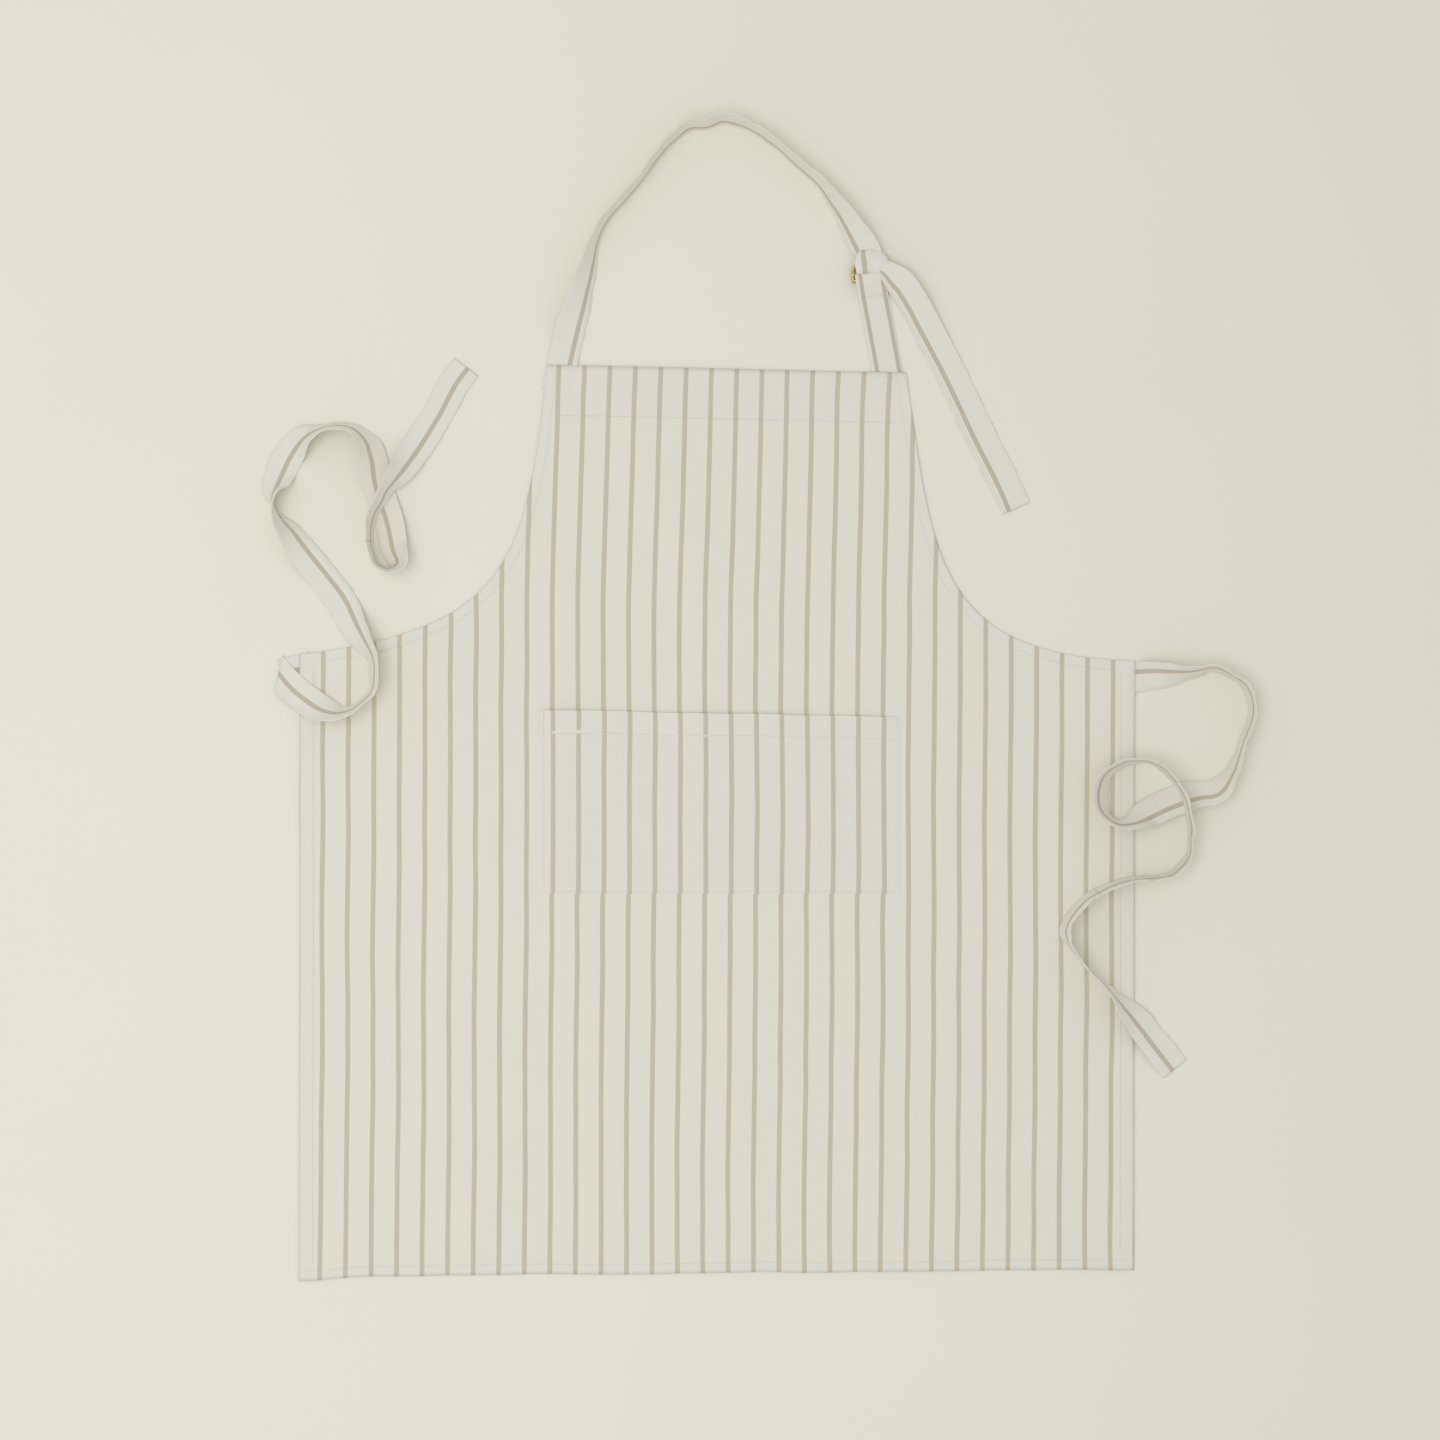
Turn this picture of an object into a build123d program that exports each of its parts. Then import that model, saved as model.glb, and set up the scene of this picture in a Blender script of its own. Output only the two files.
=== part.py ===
from build123d import *
import math
import os

# A bib apron laid flat, front face up, in millimetres.
# +X is the wearer's left as seen from the front, +Y runs up to the neck and +Z rises off the table.
# The origin lies in the plane the cloth rests on, on the skirt's centre line, level with the waist ties.

# ---- cloth and thread ----
CLOTH = 0.8                      # one layer of the panel cloth
HEM = 2 * CLOTH                  # the turned hem stands this high
THREAD_W = 0.6                   # width of a sewn line
THREAD_H = 0.3                   # how far a sewn line stands off the cloth
RUN_GAP = 0.3                    # clearance between pieces that move past each other
EDGE_GAP = 0.05                  # a strap's end stands this far off the edge that it is sewn to

# ---- body panel outline ----
SKIRT_LEFT, SKIRT_RIGHT = -349.2, 349.6
SIDE_TOP_LEFT, SIDE_TOP_RIGHT = (-348.3, 12.6), (350.8, 7.5)
BIB_LEFT, BIB_RIGHT = (-141.5, 255.4), (159.1, 248.7)
BOTTOM_LEFT, BOTTOM_TURN, BOTTOM_RIGHT = (-349.2, -511.6), (-288.0, -507.4), (349.6, -501.5)
ARM_LEFT_HANDLES = ((-158.5, 80.6), (-179.1, 34.9))
ARM_RIGHT_HANDLES = ((182.0, 97.3), (181.0, 11.5))
ARM_HEM, SIDE_HEM, BIB_HEM = 9.3, 12.7, 43.0
STITCH_IN = 1.1                  # a hem's sewn line runs this far outside the hem's inner fold
FAR = 700.0                      # further than any edge of the panel
BIB_STITCH_ENDS = (-136.0, 153.5)            # the bib hem's sewn line runs between these
SIDE_STITCH_ENDS = (-495.0, -485.0)          # the lowest points of the left and right side hems' sewn lines
ARM_STITCH_END = -20.0                       # lower than any point of the armholes
BOTTOM_STITCH_TOP = -480.0                   # higher than any point of the bottom hem's sewn line

# ---- patch pocket ----
POCKET_X = 3.9
POCKET_W = 302.0
POCKET_TOP, POCKET_BOTTOM = -36.4, -187.4
POCKET_LEAN = -0.0195            # the mouth drops this much per millimetre towards +X
POCKET_SEAM = 6.0                # width sewn down at the sides and the bottom
POCKET_GAPE = 6.6                # clear height inside the mouth
LEAST_GAPE = 0.02                # clear height where the front has come down to the panel
POCKET_RISE = 26.0               # width over which the front rises from the side seam
POCKET_HEM = 19.5                # depth of the mouth's turned hem
POCKET_STATIONS = ((0.0, 1.0), (0.45, 0.95), (0.8, 0.8), (0.96, 0.02))   # share of depth, share of gape
TACK_W, TACK_L = 1.6, 7.0        # bar tacks at the mouth's corners

# ---- straps and ties ----
STRAP_W, STRAP_T = 25.4, 1.6
FLOOR_GAP = 0.1                  # height of the loosest cloth over the table
NECK_SEAM = (-139.0, 251.4, -118.0, 250.9)   # sewn lines on the panel's face, from one point to another
RING_SEAM = (134.0, 245.3, 155.0, 244.8)
LEFT_TIE_SEAM = (-345.0, 9.0, -345.2, -4.5)
RIGHT_TIE_SEAM = (347.3, 4.0, 347.0, -17.0)
TIE_FOLD = ((-349.5, 13.6), (-362.6, 9.2), (-366.7, -16.0), (-349.5, -12.6))   # the left tie's under layer

# ---- rings ----
WIRE = 2.5
RING_INSIDE = 26.0
RING_LEG = 3.0
BAR_CENTRE = (129.0, 327.0)      # midpoint of the bars, seen from above
BAR_ANGLE = 10.5                 # the ring strap leans this far to the left of +Y
LOWER_RING_Z, UPPER_RING_Z = 3.3, 6.1
RING_SWING_ROOM = 2.0            # free height over the rings under the folded strap
LOOP_LENGTH = 13.0               # the ring strap's loop is sewn shut this far behind the bars
LOOP_FRONT = 4.0                 # and its inside reaches this far in front of them
LOOP_SEAM = 15.0                 # its sewn line runs this far behind the bars, on the upper layer
LOOP_SEAM_IN = 2.0               # and stops this far short of the strap's edges
FOLD_NARROWER = 2.0              # the fold is squeezed this much narrower than the rings
FOLD_PAST_RING = 1.0             # it reaches this far past the rings' curved sides
FOLD_FOOT = 4.0                  # and its under layer this much further

# Stations of a strap: x, y, roll in degrees (the left-hand edge rises), height of its lowest edge.
NECK_LEG = [
    (-130.6, 250.0, 0, 0.1), (-127.7, 260.0, 1, 0.1), (-125.6, 268.0, 4, 0.1), (-121.0, 286.0, 12, 0.1)]
NECK_ARCH = [
    (-127.0, 262.0, 2, 0.2), (-123.1, 280.5, 10, 0.1), (-116.0, 304.8, 33, 0.1), (-106.3, 338.2, 60, 0.1),
    (-102.2, 354.2, 73, 0.1), (-94.6, 371.8, 80, 0.1), (-77.0, 392.7, 83, 0.1), (-59.5, 413.6, 84, 0.1),
    (-47.7, 430.4, 83, 0.1), (-36.0, 442.5, 82, 0.1), (-21.8, 453.8, 80, 0.1), (-6.7, 454.6, 80, 0.1),
    (5.0, 459.2, 80, 0.1), (18.4, 456.7, 82, 0.1), (30.1, 451.7, 84, 0.1), (45.2, 442.1, 84, 0.1),
    (64.5, 425.3, 83, 0.1), (86.2, 406.5, 78, 0.1), (100.5, 388.5, 65, 0.1), (110.5, 374.3, 52, 0.1),
    (119.0, 361.0, 34, 0.1), (126.5, 347.0, 20, 0.1)]
RING_STRAP = [(145.3, 240.0, 0, 0.1), (143.4, 250.0, 0, 0.1), (141.2, 262.0, 0, 0.1), (131.2, 316.0, 0, 0.2)]
STRAP_TAIL = [
    (155.0, 324.4, 36, 1.4), (162.4, 312.3, 26, 0.6), (177.5, 284.7, 8, 0.2),
    (198.4, 245.3, 0, 0.1), (221.0, 197.6, 0, 0.1), (242.0, 155.7, 0, 0.1), (251.2, 135.2, 0, 0.1)]
LEFT_NEAR = [
    (-363.9, -4.5, 0, 1.2), (-357.9, -11.9, 0, 1.8), (-343.3, -24.1, -2, 2.0), (-328.4, -32.8, -34, 2.0),
    (-315.6, -35.6, -60, 1.9)]
LEFT_FAR = [
    (-309.4, -36.2, -66, 1.9), (-301.4, -32.5, -74, 1.9), (-294.0, -26.5, -74, 1.9),
    (-286.1, -16.7, -70, 1.9), (-284.8, -5.5, -66, 1.9), (-285.2, 4.9, -66, 1.9), (-288.5, 14.7, -58, 1.9),
    (-293.5, 22.6, -46, 1.4), (-304.5, 40.0, -16, 0.2), (-313.2, 57.0, 0, 0.1), (-329.9, 79.0, 0, 0.1),
    (-345.8, 98.8, 18, 0.1), (-355.2, 112.6, 42, 0.1), (-363.5, 123.9, 68, 0.1), (-368.4, 135.0, 90, 0.1),
    (-369.7, 144.9, 118, 0.1), (-367.0, 156.0, 158, 0.1), (-363.5, 166.8, 178, 0.1),
    (-355.2, 182.7, 176, 0.1), (-344.1, 193.8, 142, 0.1), (-329.9, 200.4, 112, 0.1),
    (-316.8, 203.2, 108, 0.1), (-303.8, 201.4, 110, 0.1), (-292.5, 192.0, 128, 0.1),
    (-286.5, 176.2, 156, 0.1), (-284.0, 158.5, 172, 0.1), (-279.4, 142.5, 182, 0.1),
    (-272.5, 121.0, 192, 0.1), (-268.4, 101.5, 205, 0.1), (-264.6, 87.6, 236, 0.1),
    (-272.5, 83.4, 256, 0.1), (-280.8, 85.9, 262, 0.1), (-287.3, 100.1, 264, 0.2),
    (-288.5, 114.1, 262, 1.4), (-285.6, 129.0, 258, 3.6), (-279.6, 139.4, 254, 6.2)]
LEFT_END = [
    (-279.0, 140.3, 254, 6.4), (-276.4, 146.2, 252, 7.6), (-267.4, 159.0, 238, 7.6),
    (-258.5, 173.1, 208, 3.0), (-246.9, 191.1, 184, 0.4), (-232.8, 214.1, 180, 0.1),
    (-217.4, 242.3, 180, 0.1), (-209.0, 253.5, 180, 0.1)]
RIGHT_NEAR = [
    (352.4, -5.9, 0, 0.1), (367.3, -4.5, 26, 0.1), (379.3, -4.2, 45, 0.1), (398.6, -2.3, 67, 0.1),
    (413.0, 0.9, 78, 0.1)]
RIGHT_FAR = [
    (416.0, 0.9, 80, 0.1), (427.5, -3.2, 83, 0.1), (440.6, -13.3, 84, 0.1), (446.6, -26.5, 85, 0.1),
    (445.5, -42.1, 85, 0.1), (439.4, -58.9, 85, 0.1), (434.6, -73.3, 82, 0.1), (428.6, -86.6, 68, 0.1),
    (417.8, -101.0, 42, 0.1), (401.0, -103.8, 24, 0.1), (379.4, -111.3, 12, 0.1), (360.1, -120.2, 26, 1.4),
    (348.2, -126.7, 60, 2.0), (333.8, -127.4, 74, 2.0), (321.7, -116.5, 60, 2.0), (320.5, -102.1, 50, 2.0),
    (324.1, -89.0, 60, 2.0), (336.2, -79.4, 74, 2.0), (351.7, -75.8, 80, 2.0), (366.2, -78.6, 84, 4.6),
    (378.2, -89.0, 86, 7.6), (389.0, -107.0, 88, 8.2), (394.3, -125.0, 88, 4.4), (395.7, -140.6, 88, 0.1),
    (392.6, -155.0, 86, 0.1), (385.4, -165.8, 84, 0.1), (376.9, -171.4, 84, 0.1), (352.9, -174.2, 84, 2.0),
    (333.8, -177.8, 82, 2.0), (318.1, -185.0, 80, 2.0), (304.0, -195.2, 79, 2.0), (294.6, -206.6, 79, 2.0),
    (290.8, -216.5, 80, 2.0)]
RIGHT_END = [
    (291.0, -220.0, 80, 2.0), (296.5, -231.9, 86, 2.0), (307.3, -246.3, 97, 2.0), (321.7, -260.7, 112, 2.0),
    (333.8, -273.9, 128, 2.0), (350.6, -292.0, 148, 1.4), (366.2, -311.2, 165, 0.2),
    (384.2, -334.0, 178, 0.1)]

# The neck loop lifts about this slanting line, given by two points seen from above.
NECK_HINGE = ((-124.8, 269.6), (125.6, 352.1))


def lofted(sections):
    """A solid through closed polygons of equal point count, with straight walls between them."""
    wires = [Wire.make_polygon([Vector(*p) for p in s], close=True) for s in sections]
    return Solid.make_loft(wires, ruled=True)


def ribbon(stations, width=STRAP_W, thick=STRAP_T):
    """A flat strap through its stations, turned about its length by each station's roll."""
    mids = []
    for x, y, roll, base in stations:
        lean = math.radians(roll)
        height = base + width / 2 * abs(math.sin(lean)) + thick / 2 * abs(math.cos(lean))
        mids.append(Vector(x, y, height))
    sections = []
    for i, (x, y, roll, base) in enumerate(stations):
        along = (mids[min(i + 1, len(mids) - 1)] - mids[max(i - 1, 0)]).normalized()
        left = Vector(0, 0, 1).cross(along).normalized()
        lean = math.radians(roll)
        across = left * math.cos(lean) + Vector(0, 0, 1) * math.sin(lean)
        across = (across - along * across.dot(along)).normalized()
        up = along.cross(across)
        half_w, half_t = across * (width / 2), up * (thick / 2)
        corners = [half_w + half_t, half_t - half_w, half_w * -1 - half_t, half_w - half_t]
        sections.append([tuple(mids[i] + c) for c in corners])
    return lofted(sections)


def save(node, shape):
    """Write one node to its own STEP file."""
    part = shape if isinstance(shape, (Solid, Compound)) else Compound(shape)
    export_step(part, f"parts/{node}.step")


def outline():
    """The panel's cut outline: straight bib, skirt sides and hem, with a curved armhole on each side."""
    edges = [
        Bezier(BIB_LEFT, *ARM_LEFT_HANDLES, SIDE_TOP_LEFT),
        Polyline(SIDE_TOP_LEFT, BOTTOM_LEFT, BOTTOM_TURN, BOTTOM_RIGHT, SIDE_TOP_RIGHT),
        Bezier(SIDE_TOP_RIGHT, *reversed(ARM_RIGHT_HANDLES), BIB_RIGHT),
        Line(BIB_RIGHT, BIB_LEFT),
    ]
    return make_face(edges)


def bib_line(drop):
    """Height of the bib's top edge at the left and right limits, lowered by drop."""
    slope = (BIB_RIGHT[1] - BIB_LEFT[1]) / (BIB_RIGHT[0] - BIB_LEFT[0])
    return [BIB_LEFT[1] - drop + slope * (x - BIB_LEFT[0]) for x in (-FAR, FAR)]


def inset_arm(corner, handles, end, inset, side):
    """An armhole's curve moved into the cloth by inset; side is +1 where the cloth lies towards +X.

    The end points move along their normals, and both handles grow by the share that brings the
    middle of the curve the same distance in.
    """
    p0, p1, p2, p3 = (Vector(*p) for p in (corner, *handles, end))
    run0, run3 = p1 - p0, p2 - p3
    n0 = Vector(-run0.Y, run0.X).normalized() * side
    n3 = Vector(run3.Y, -run3.X).normalized() * side
    mean = (n0 + n3) * 0.5
    growth = inset * (1 - mean.length) / ((run0 + run3) * 0.375).dot(mean.normalized())
    q0, q3 = p0 + n0 * inset, p3 + n3 * inset
    return Bezier(q0, q0 + run0 * (1 + growth), q3 + run3 * (1 + growth), q3), q0, q3


def inside_hems(inset, floor, height):
    """A slab over the panel's area inside its turned hems, grown by inset towards the edges."""
    left_y, right_y = bib_line(BIB_HEM - inset)
    side, low = SIDE_HEM - inset, ARM_HEM - inset
    limits = make_face(Polyline(
        (SKIRT_LEFT + side, BOTTOM_LEFT[1] + low), (BOTTOM_TURN[0], BOTTOM_TURN[1] + low),
        (SKIRT_RIGHT - side, BOTTOM_RIGHT[1] + low), (SKIRT_RIGHT - side, right_y),
        (SKIRT_LEFT + side, left_y), close=True))
    arm_left, bib_left, end_left = inset_arm(BIB_LEFT, ARM_LEFT_HANDLES, SIDE_TOP_LEFT, low, 1)
    arm_right, bib_right, end_right = inset_arm(BIB_RIGHT, ARM_RIGHT_HANDLES, SIDE_TOP_RIGHT, low, -1)
    skirt = Polyline(end_left, (end_left.X, -FAR), (end_right.X, -FAR), end_right)
    within = make_face([arm_left, skirt, arm_right, Line(bib_right, bib_left)])
    prisms = [extrude(face, amount=height, dir=(0, 0, 1)).solid() for face in (within, limits)]
    return Pos(0, 0, floor) * prisms[0].intersect(prisms[1]).solid()


def body_panel():
    """One layer of cloth, twice as thick where its edges are turned and sewn."""
    return extrude(outline(), amount=HEM, dir=(0, 0, 1)).solid().cut(inside_hems(0.0, CLOTH, HEM))


def hem_stitches():
    """The sewn lines on the hems, one solid for each hem."""
    rest = inside_hems(STITCH_IN, HEM, THREAD_H).cut(inside_hems(STITCH_IN - THREAD_W, HEM, THREAD_H))
    side_in = SIDE_HEM + THREAD_W
    zones = {
        "bib_hem_stitch": (BIB_STITCH_ENDS[0], min(bib_line(BIB_HEM + THREAD_W)), BIB_STITCH_ENDS[1], FAR),
        "side_hem_stitch_left": (-FAR, SIDE_STITCH_ENDS[0], SKIRT_LEFT + side_in, FAR),
        "side_hem_stitch_right": (SKIRT_RIGHT - side_in, SIDE_STITCH_ENDS[1], FAR, FAR),
        "armhole_stitch_left": (-FAR, ARM_STITCH_END, 0.0, FAR),
        "armhole_stitch_right": (0.0, ARM_STITCH_END, FAR, FAR),
        "bottom_hem_stitch": (-FAR, -FAR, FAR, BOTTOM_STITCH_TOP),
    }
    made = {}
    for node, (x0, y0, x1, y1) in zones.items():
        zone = Pos(x0, y0, 0) * Solid.make_box(x1 - x0, y1 - y0, FAR)
        made[node] = rest.intersect(zone).solid()
        if node != "bottom_hem_stitch":
            rest = rest.cut(zone)
    return made


def pocket_section(share, gape):
    """The pocket front across its width at a share of its depth: feet, rising flanks and a flat middle."""
    depth = POCKET_TOP - POCKET_BOTTOM
    low = CLOTH
    half = POCKET_W / 2
    clear = max(gape * POCKET_GAPE, LEAST_GAPE)
    flank = POCKET_SEAM + POCKET_RISE
    profile = [
        (-half, low), (-half + POCKET_SEAM, low), (-half + flank, low + clear), (half - flank, low + clear),
        (half - POCKET_SEAM, low), (half, low), (half, low + CLOTH), (half - POCKET_SEAM, low + CLOTH),
        (half - flank, low + clear + CLOTH), (-half + flank, low + clear + CLOTH),
        (-half + POCKET_SEAM, low + CLOTH), (-half, low + CLOTH)]
    lean = POCKET_LEAN * (1 - share)
    y = POCKET_TOP - share * depth
    return [(POCKET_X + x, y + lean * x, z) for x, z in profile]


def pocket_panel():
    """The patch pocket, standing a little open at its mouth, with its bottom sewn flat."""
    front = lofted([pocket_section(share, gape) for share, gape in POCKET_STATIONS])
    closed_y = POCKET_TOP - POCKET_STATIONS[-1][0] * (POCKET_TOP - POCKET_BOTTOM)
    height = closed_y - POCKET_BOTTOM
    foot = Pos(POCKET_X, POCKET_BOTTOM + height / 2, CLOTH * 1.5) * Box(POCKET_W, height, CLOTH)
    return front.fuse(foot.solid())


def sewn_bar(x0, y0, x1, y1, z, width=THREAD_W):
    """A straight sewn line from one point to another, standing on the height z."""
    length = math.hypot(x1 - x0, y1 - y0)
    turn = math.degrees(math.atan2(y1 - y0, x1 - x0))
    bar = Pos((x0 + x1) / 2, (y0 + y1) / 2, z + THREAD_H / 2) * Rot(0, 0, turn) * Box(length, width, THREAD_H)
    return bar.solid()


def pocket_stitches():
    """The seams down the pocket's sides and along its bottom, and the bar tacks at its mouth."""
    x0, x1 = POCKET_X - POCKET_W / 2 + POCKET_SEAM / 2, POCKET_X + POCKET_W / 2 - POCKET_SEAM / 2
    y0, y1 = POCKET_BOTTOM + POCKET_SEAM / 3, POCKET_TOP - 2 * TACK_L
    z = 2 * CLOTH
    made = {
        "pocket_stitch_left": sewn_bar(x0, y0 + THREAD_W, x0, y1, z),
        "pocket_stitch_right": sewn_bar(x1, y0 + THREAD_W, x1, y1, z),
        "pocket_stitch_bottom": sewn_bar(x0 - THREAD_W / 2, y0, x1 + THREAD_W / 2, y0, z),
    }
    for side, x in (("left", x0), ("right", x1)):
        top = POCKET_TOP + POCKET_LEAN * (x - POCKET_X) - TACK_W
        made[f"pocket_tack_{side}"] = sewn_bar(x, top, x, top - TACK_L, z, TACK_W)
    return made


def pocket_hem_stitch():
    """The sewn line of the mouth's turned hem, on the flat middle of the pocket front."""
    share = POCKET_HEM / (POCKET_TOP - POCKET_BOTTOM)
    top_gape = POCKET_STATIONS[0][1]
    gape = top_gape + (POCKET_STATIONS[1][1] - top_gape) * share / POCKET_STATIONS[1][0]
    half = POCKET_W / 2 - POCKET_SEAM - POCKET_RISE
    y = POCKET_TOP - POCKET_HEM
    return sewn_bar(POCKET_X - half, y - POCKET_LEAN * half, POCKET_X + half, y + POCKET_LEAN * half,
                    2 * CLOTH + gape * POCKET_GAPE + EDGE_GAP)


def hinge_plane(gap):
    """The upright plane through the neck loop's hinge line, moved by gap towards the neck."""
    (x0, y0), (x1, y1) = NECK_HINGE
    run = Vector(x1 - x0, y1 - y0, 0).normalized()
    normal = Vector(-run.Y, run.X, 0)
    start = Vector(x0, y0, 0) + normal * gap
    return Plane(origin=start, x_dir=run, z_dir=normal)


def above_bib(strap):
    """What of a strap lies beyond the bib's top edge, where its sewn end begins."""
    run = (Vector(*BIB_RIGHT) - Vector(*BIB_LEFT)).normalized()
    edge = Plane(origin=(BIB_LEFT[0], BIB_LEFT[1] + EDGE_GAP, 0), x_dir=run, z_dir=(-run.Y, run.X, 0))
    return split(strap, bisect_by=edge, keep=Keep.TOP)


def bar_frame():
    """The frame of the ring bars: X along the bars, Y up the rings towards the neck."""
    return Location((BAR_CENTRE[0], BAR_CENTRE[1], 0), (0, 0, BAR_ANGLE))


def d_ring(height):
    """A D-shaped ring of round wire: a straight bar, two short legs and a half circle."""
    half = (RING_INSIDE + WIRE) / 2
    path = Wire([
        Edge.make_line((-half, 0, 0), (half, 0, 0)),
        Edge.make_line((half, 0, 0), (half, RING_LEG, 0)),
        Edge.make_three_point_arc((half, RING_LEG, 0), (0, RING_LEG + half, 0), (-half, RING_LEG, 0)),
        Edge.make_line((-half, RING_LEG, 0), (-half, 0, 0)),
    ])
    start = Plane(origin=(0, 0, 0), z_dir=(1, 0, 0))
    wire_face = start * Circle(WIRE / 2)
    ring = sweep(wire_face, path=path, transition=Transition.ROUND)
    return bar_frame() * Pos(0, 0, height) * ring


def profile_across(points, width):
    """A strip of the given width along the bars' direction, from its side outline (y, z)."""
    side = make_face(Plane.YZ * Polyline(*points, close=True))
    return bar_frame() * Pos(-width / 2, 0, 0) * extrude(side, amount=width, dir=(1, 0, 0))


def ring_loop():
    """The ring strap's end: a flat loop of cloth that holds both bars, sewn shut behind them."""
    clear = WIRE / 2 + RUN_GAP
    top = UPPER_RING_Z + clear
    low = LOWER_RING_Z - clear
    front = LOOP_FRONT + STRAP_T
    outer = [(-LOOP_LENGTH, low - STRAP_T), (front, low - STRAP_T), (front, top + STRAP_T),
             (-clear - STRAP_T, top + STRAP_T), (-LOOP_LENGTH, low + STRAP_T)]
    inner = [(-clear, low), (LOOP_FRONT, low), (LOOP_FRONT, top), (-clear, top)]
    return profile_across(outer, STRAP_W) - profile_across(inner, STRAP_W)


def ring_strap():
    """The short strap from the bib to the rings, with its loop."""
    return above_bib(ribbon(RING_STRAP)).fuse(ring_loop().solid())


def neck_strap_fold():
    """The long strap where it passes under both rings and doubles back over their curved sides."""
    back = LOOP_FRONT + STRAP_T + 2 * RUN_GAP
    far_edge = RING_LEG + (RING_INSIDE + WIRE) / 2 + WIRE / 2 + FOLD_PAST_RING
    foot = far_edge + FOLD_FOOT
    ceiling = UPPER_RING_Z + WIRE / 2 + RING_SWING_ROOM
    side = [
        (back, FLOOR_GAP), (foot, FLOOR_GAP), (foot, FLOOR_GAP + STRAP_T),
        (back + STRAP_T, FLOOR_GAP + STRAP_T), (back + STRAP_T, ceiling), (far_edge, ceiling),
        (far_edge, ceiling + STRAP_T), (back, ceiling + STRAP_T)]
    fold = profile_across(side, RING_INSIDE - FOLD_NARROWER)
    return split(fold, bisect_by=hinge_plane(-RUN_GAP), keep=Keep.BOTTOM)


def left_near_tie():
    """The left tie from its seam: folded back on itself beside the panel, then laid over the corner."""
    under = make_face(Polyline(*TIE_FOLD, close=True))
    return extrude(under, amount=STRAP_T).solid().fuse(ribbon(LEFT_NEAR))


def strap_seams():
    """The sewn lines that hold the straps and ties to the panel, on the cloth's face."""
    half = STRAP_W / 2 - LOOP_SEAM_IN
    top = LOWER_RING_Z - WIRE / 2 - RUN_GAP + STRAP_T + EDGE_GAP
    return {
        "neck_strap_stitch": sewn_bar(*NECK_SEAM, HEM),
        "ring_strap_stitch": sewn_bar(*RING_SEAM, HEM),
        "ring_loop_stitch": bar_frame() * sewn_bar(-half, -LOOP_SEAM, half, -LOOP_SEAM, top),
        "tie_stitch_left": sewn_bar(*LEFT_TIE_SEAM, HEM),
        "tie_stitch_right": sewn_bar(*RIGHT_TIE_SEAM, HEM),
    }


os.makedirs("parts", exist_ok=True)
save("body_panel", body_panel())
save("pocket_panel", pocket_panel())
save("pocket_hem_stitch", pocket_hem_stitch())
for node, shape in {**hem_stitches(), **pocket_stitches(), **strap_seams()}.items():
    save(node, shape)
save("neck_strap_leg", above_bib(split(
    ribbon(NECK_LEG), bisect_by=hinge_plane(-RUN_GAP / 2), keep=Keep.BOTTOM)))
save("neck_strap_arch", split(ribbon(NECK_ARCH), bisect_by=hinge_plane(RUN_GAP / 2), keep=Keep.TOP))
save("neck_strap_fold", neck_strap_fold())
save("neck_strap_tail", ribbon(STRAP_TAIL))
save("ring_strap", ring_strap())
save("d_ring_lower", d_ring(LOWER_RING_Z))
save("d_ring_upper", d_ring(UPPER_RING_Z))
save("waist_tie_left_near", left_near_tie())
save("waist_tie_left_far", ribbon(LEFT_FAR))
save("waist_tie_left_end", ribbon(LEFT_END))
save("waist_tie_right_near", ribbon(RIGHT_NEAR))
save("waist_tie_right_far", ribbon(RIGHT_FAR))
save("waist_tie_right_end", ribbon(RIGHT_END))
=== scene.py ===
import logging
from dataclasses import dataclass, field
from enum import Enum
from typing import Any, Mapping, Sequence

import bpy
import numpy as np
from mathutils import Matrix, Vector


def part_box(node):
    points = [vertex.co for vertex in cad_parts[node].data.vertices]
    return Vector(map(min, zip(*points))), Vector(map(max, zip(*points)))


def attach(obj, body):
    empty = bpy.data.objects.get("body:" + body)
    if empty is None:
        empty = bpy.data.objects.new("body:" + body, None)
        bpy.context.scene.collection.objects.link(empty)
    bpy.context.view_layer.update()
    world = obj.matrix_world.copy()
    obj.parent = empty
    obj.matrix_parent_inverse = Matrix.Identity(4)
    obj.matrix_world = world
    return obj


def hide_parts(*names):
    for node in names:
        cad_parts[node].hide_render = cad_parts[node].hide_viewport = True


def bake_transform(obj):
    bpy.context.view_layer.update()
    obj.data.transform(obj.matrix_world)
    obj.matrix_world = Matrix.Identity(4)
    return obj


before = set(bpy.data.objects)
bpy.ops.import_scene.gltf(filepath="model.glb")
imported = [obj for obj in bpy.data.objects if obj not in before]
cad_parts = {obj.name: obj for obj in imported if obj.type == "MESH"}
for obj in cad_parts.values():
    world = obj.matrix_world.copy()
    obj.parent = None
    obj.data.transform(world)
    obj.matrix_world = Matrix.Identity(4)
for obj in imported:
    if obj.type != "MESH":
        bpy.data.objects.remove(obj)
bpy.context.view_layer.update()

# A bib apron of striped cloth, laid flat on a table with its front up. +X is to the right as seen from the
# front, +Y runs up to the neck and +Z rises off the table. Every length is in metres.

LOG = logging.getLogger("apron")
UV_NAME = "Cloth"                # the UV map in metres of cloth: across the stripes, then along them
LAYERS_NAME = "Layers"           # the attribute that says where the cloth lies double
PITCH = 0.02132                  # one stripe to the next
UP = np.array([0.0, 0.0, 1.0])
ROOT = "apron"                   # the body that lies still
LAYER = 0.9                      # a turned layer's thickness, as a share of the cloth's
LOWEST = 0.00004                 # no skin of tape comes nearer to the table than this
LOWEST_PATH = 0.00008            # nor the lowest edge of a tape's line
LOWEST_SEAM = 0.0003             # nor the middle of a tape's seam
TAPE_STEP = 0.0020               # one cross-section of a tape to the next
TABLE_DROP = 0.0002              # the table's top is this far under z = 0


# ---------------------------------------------------------------- numbers and curves


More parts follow.
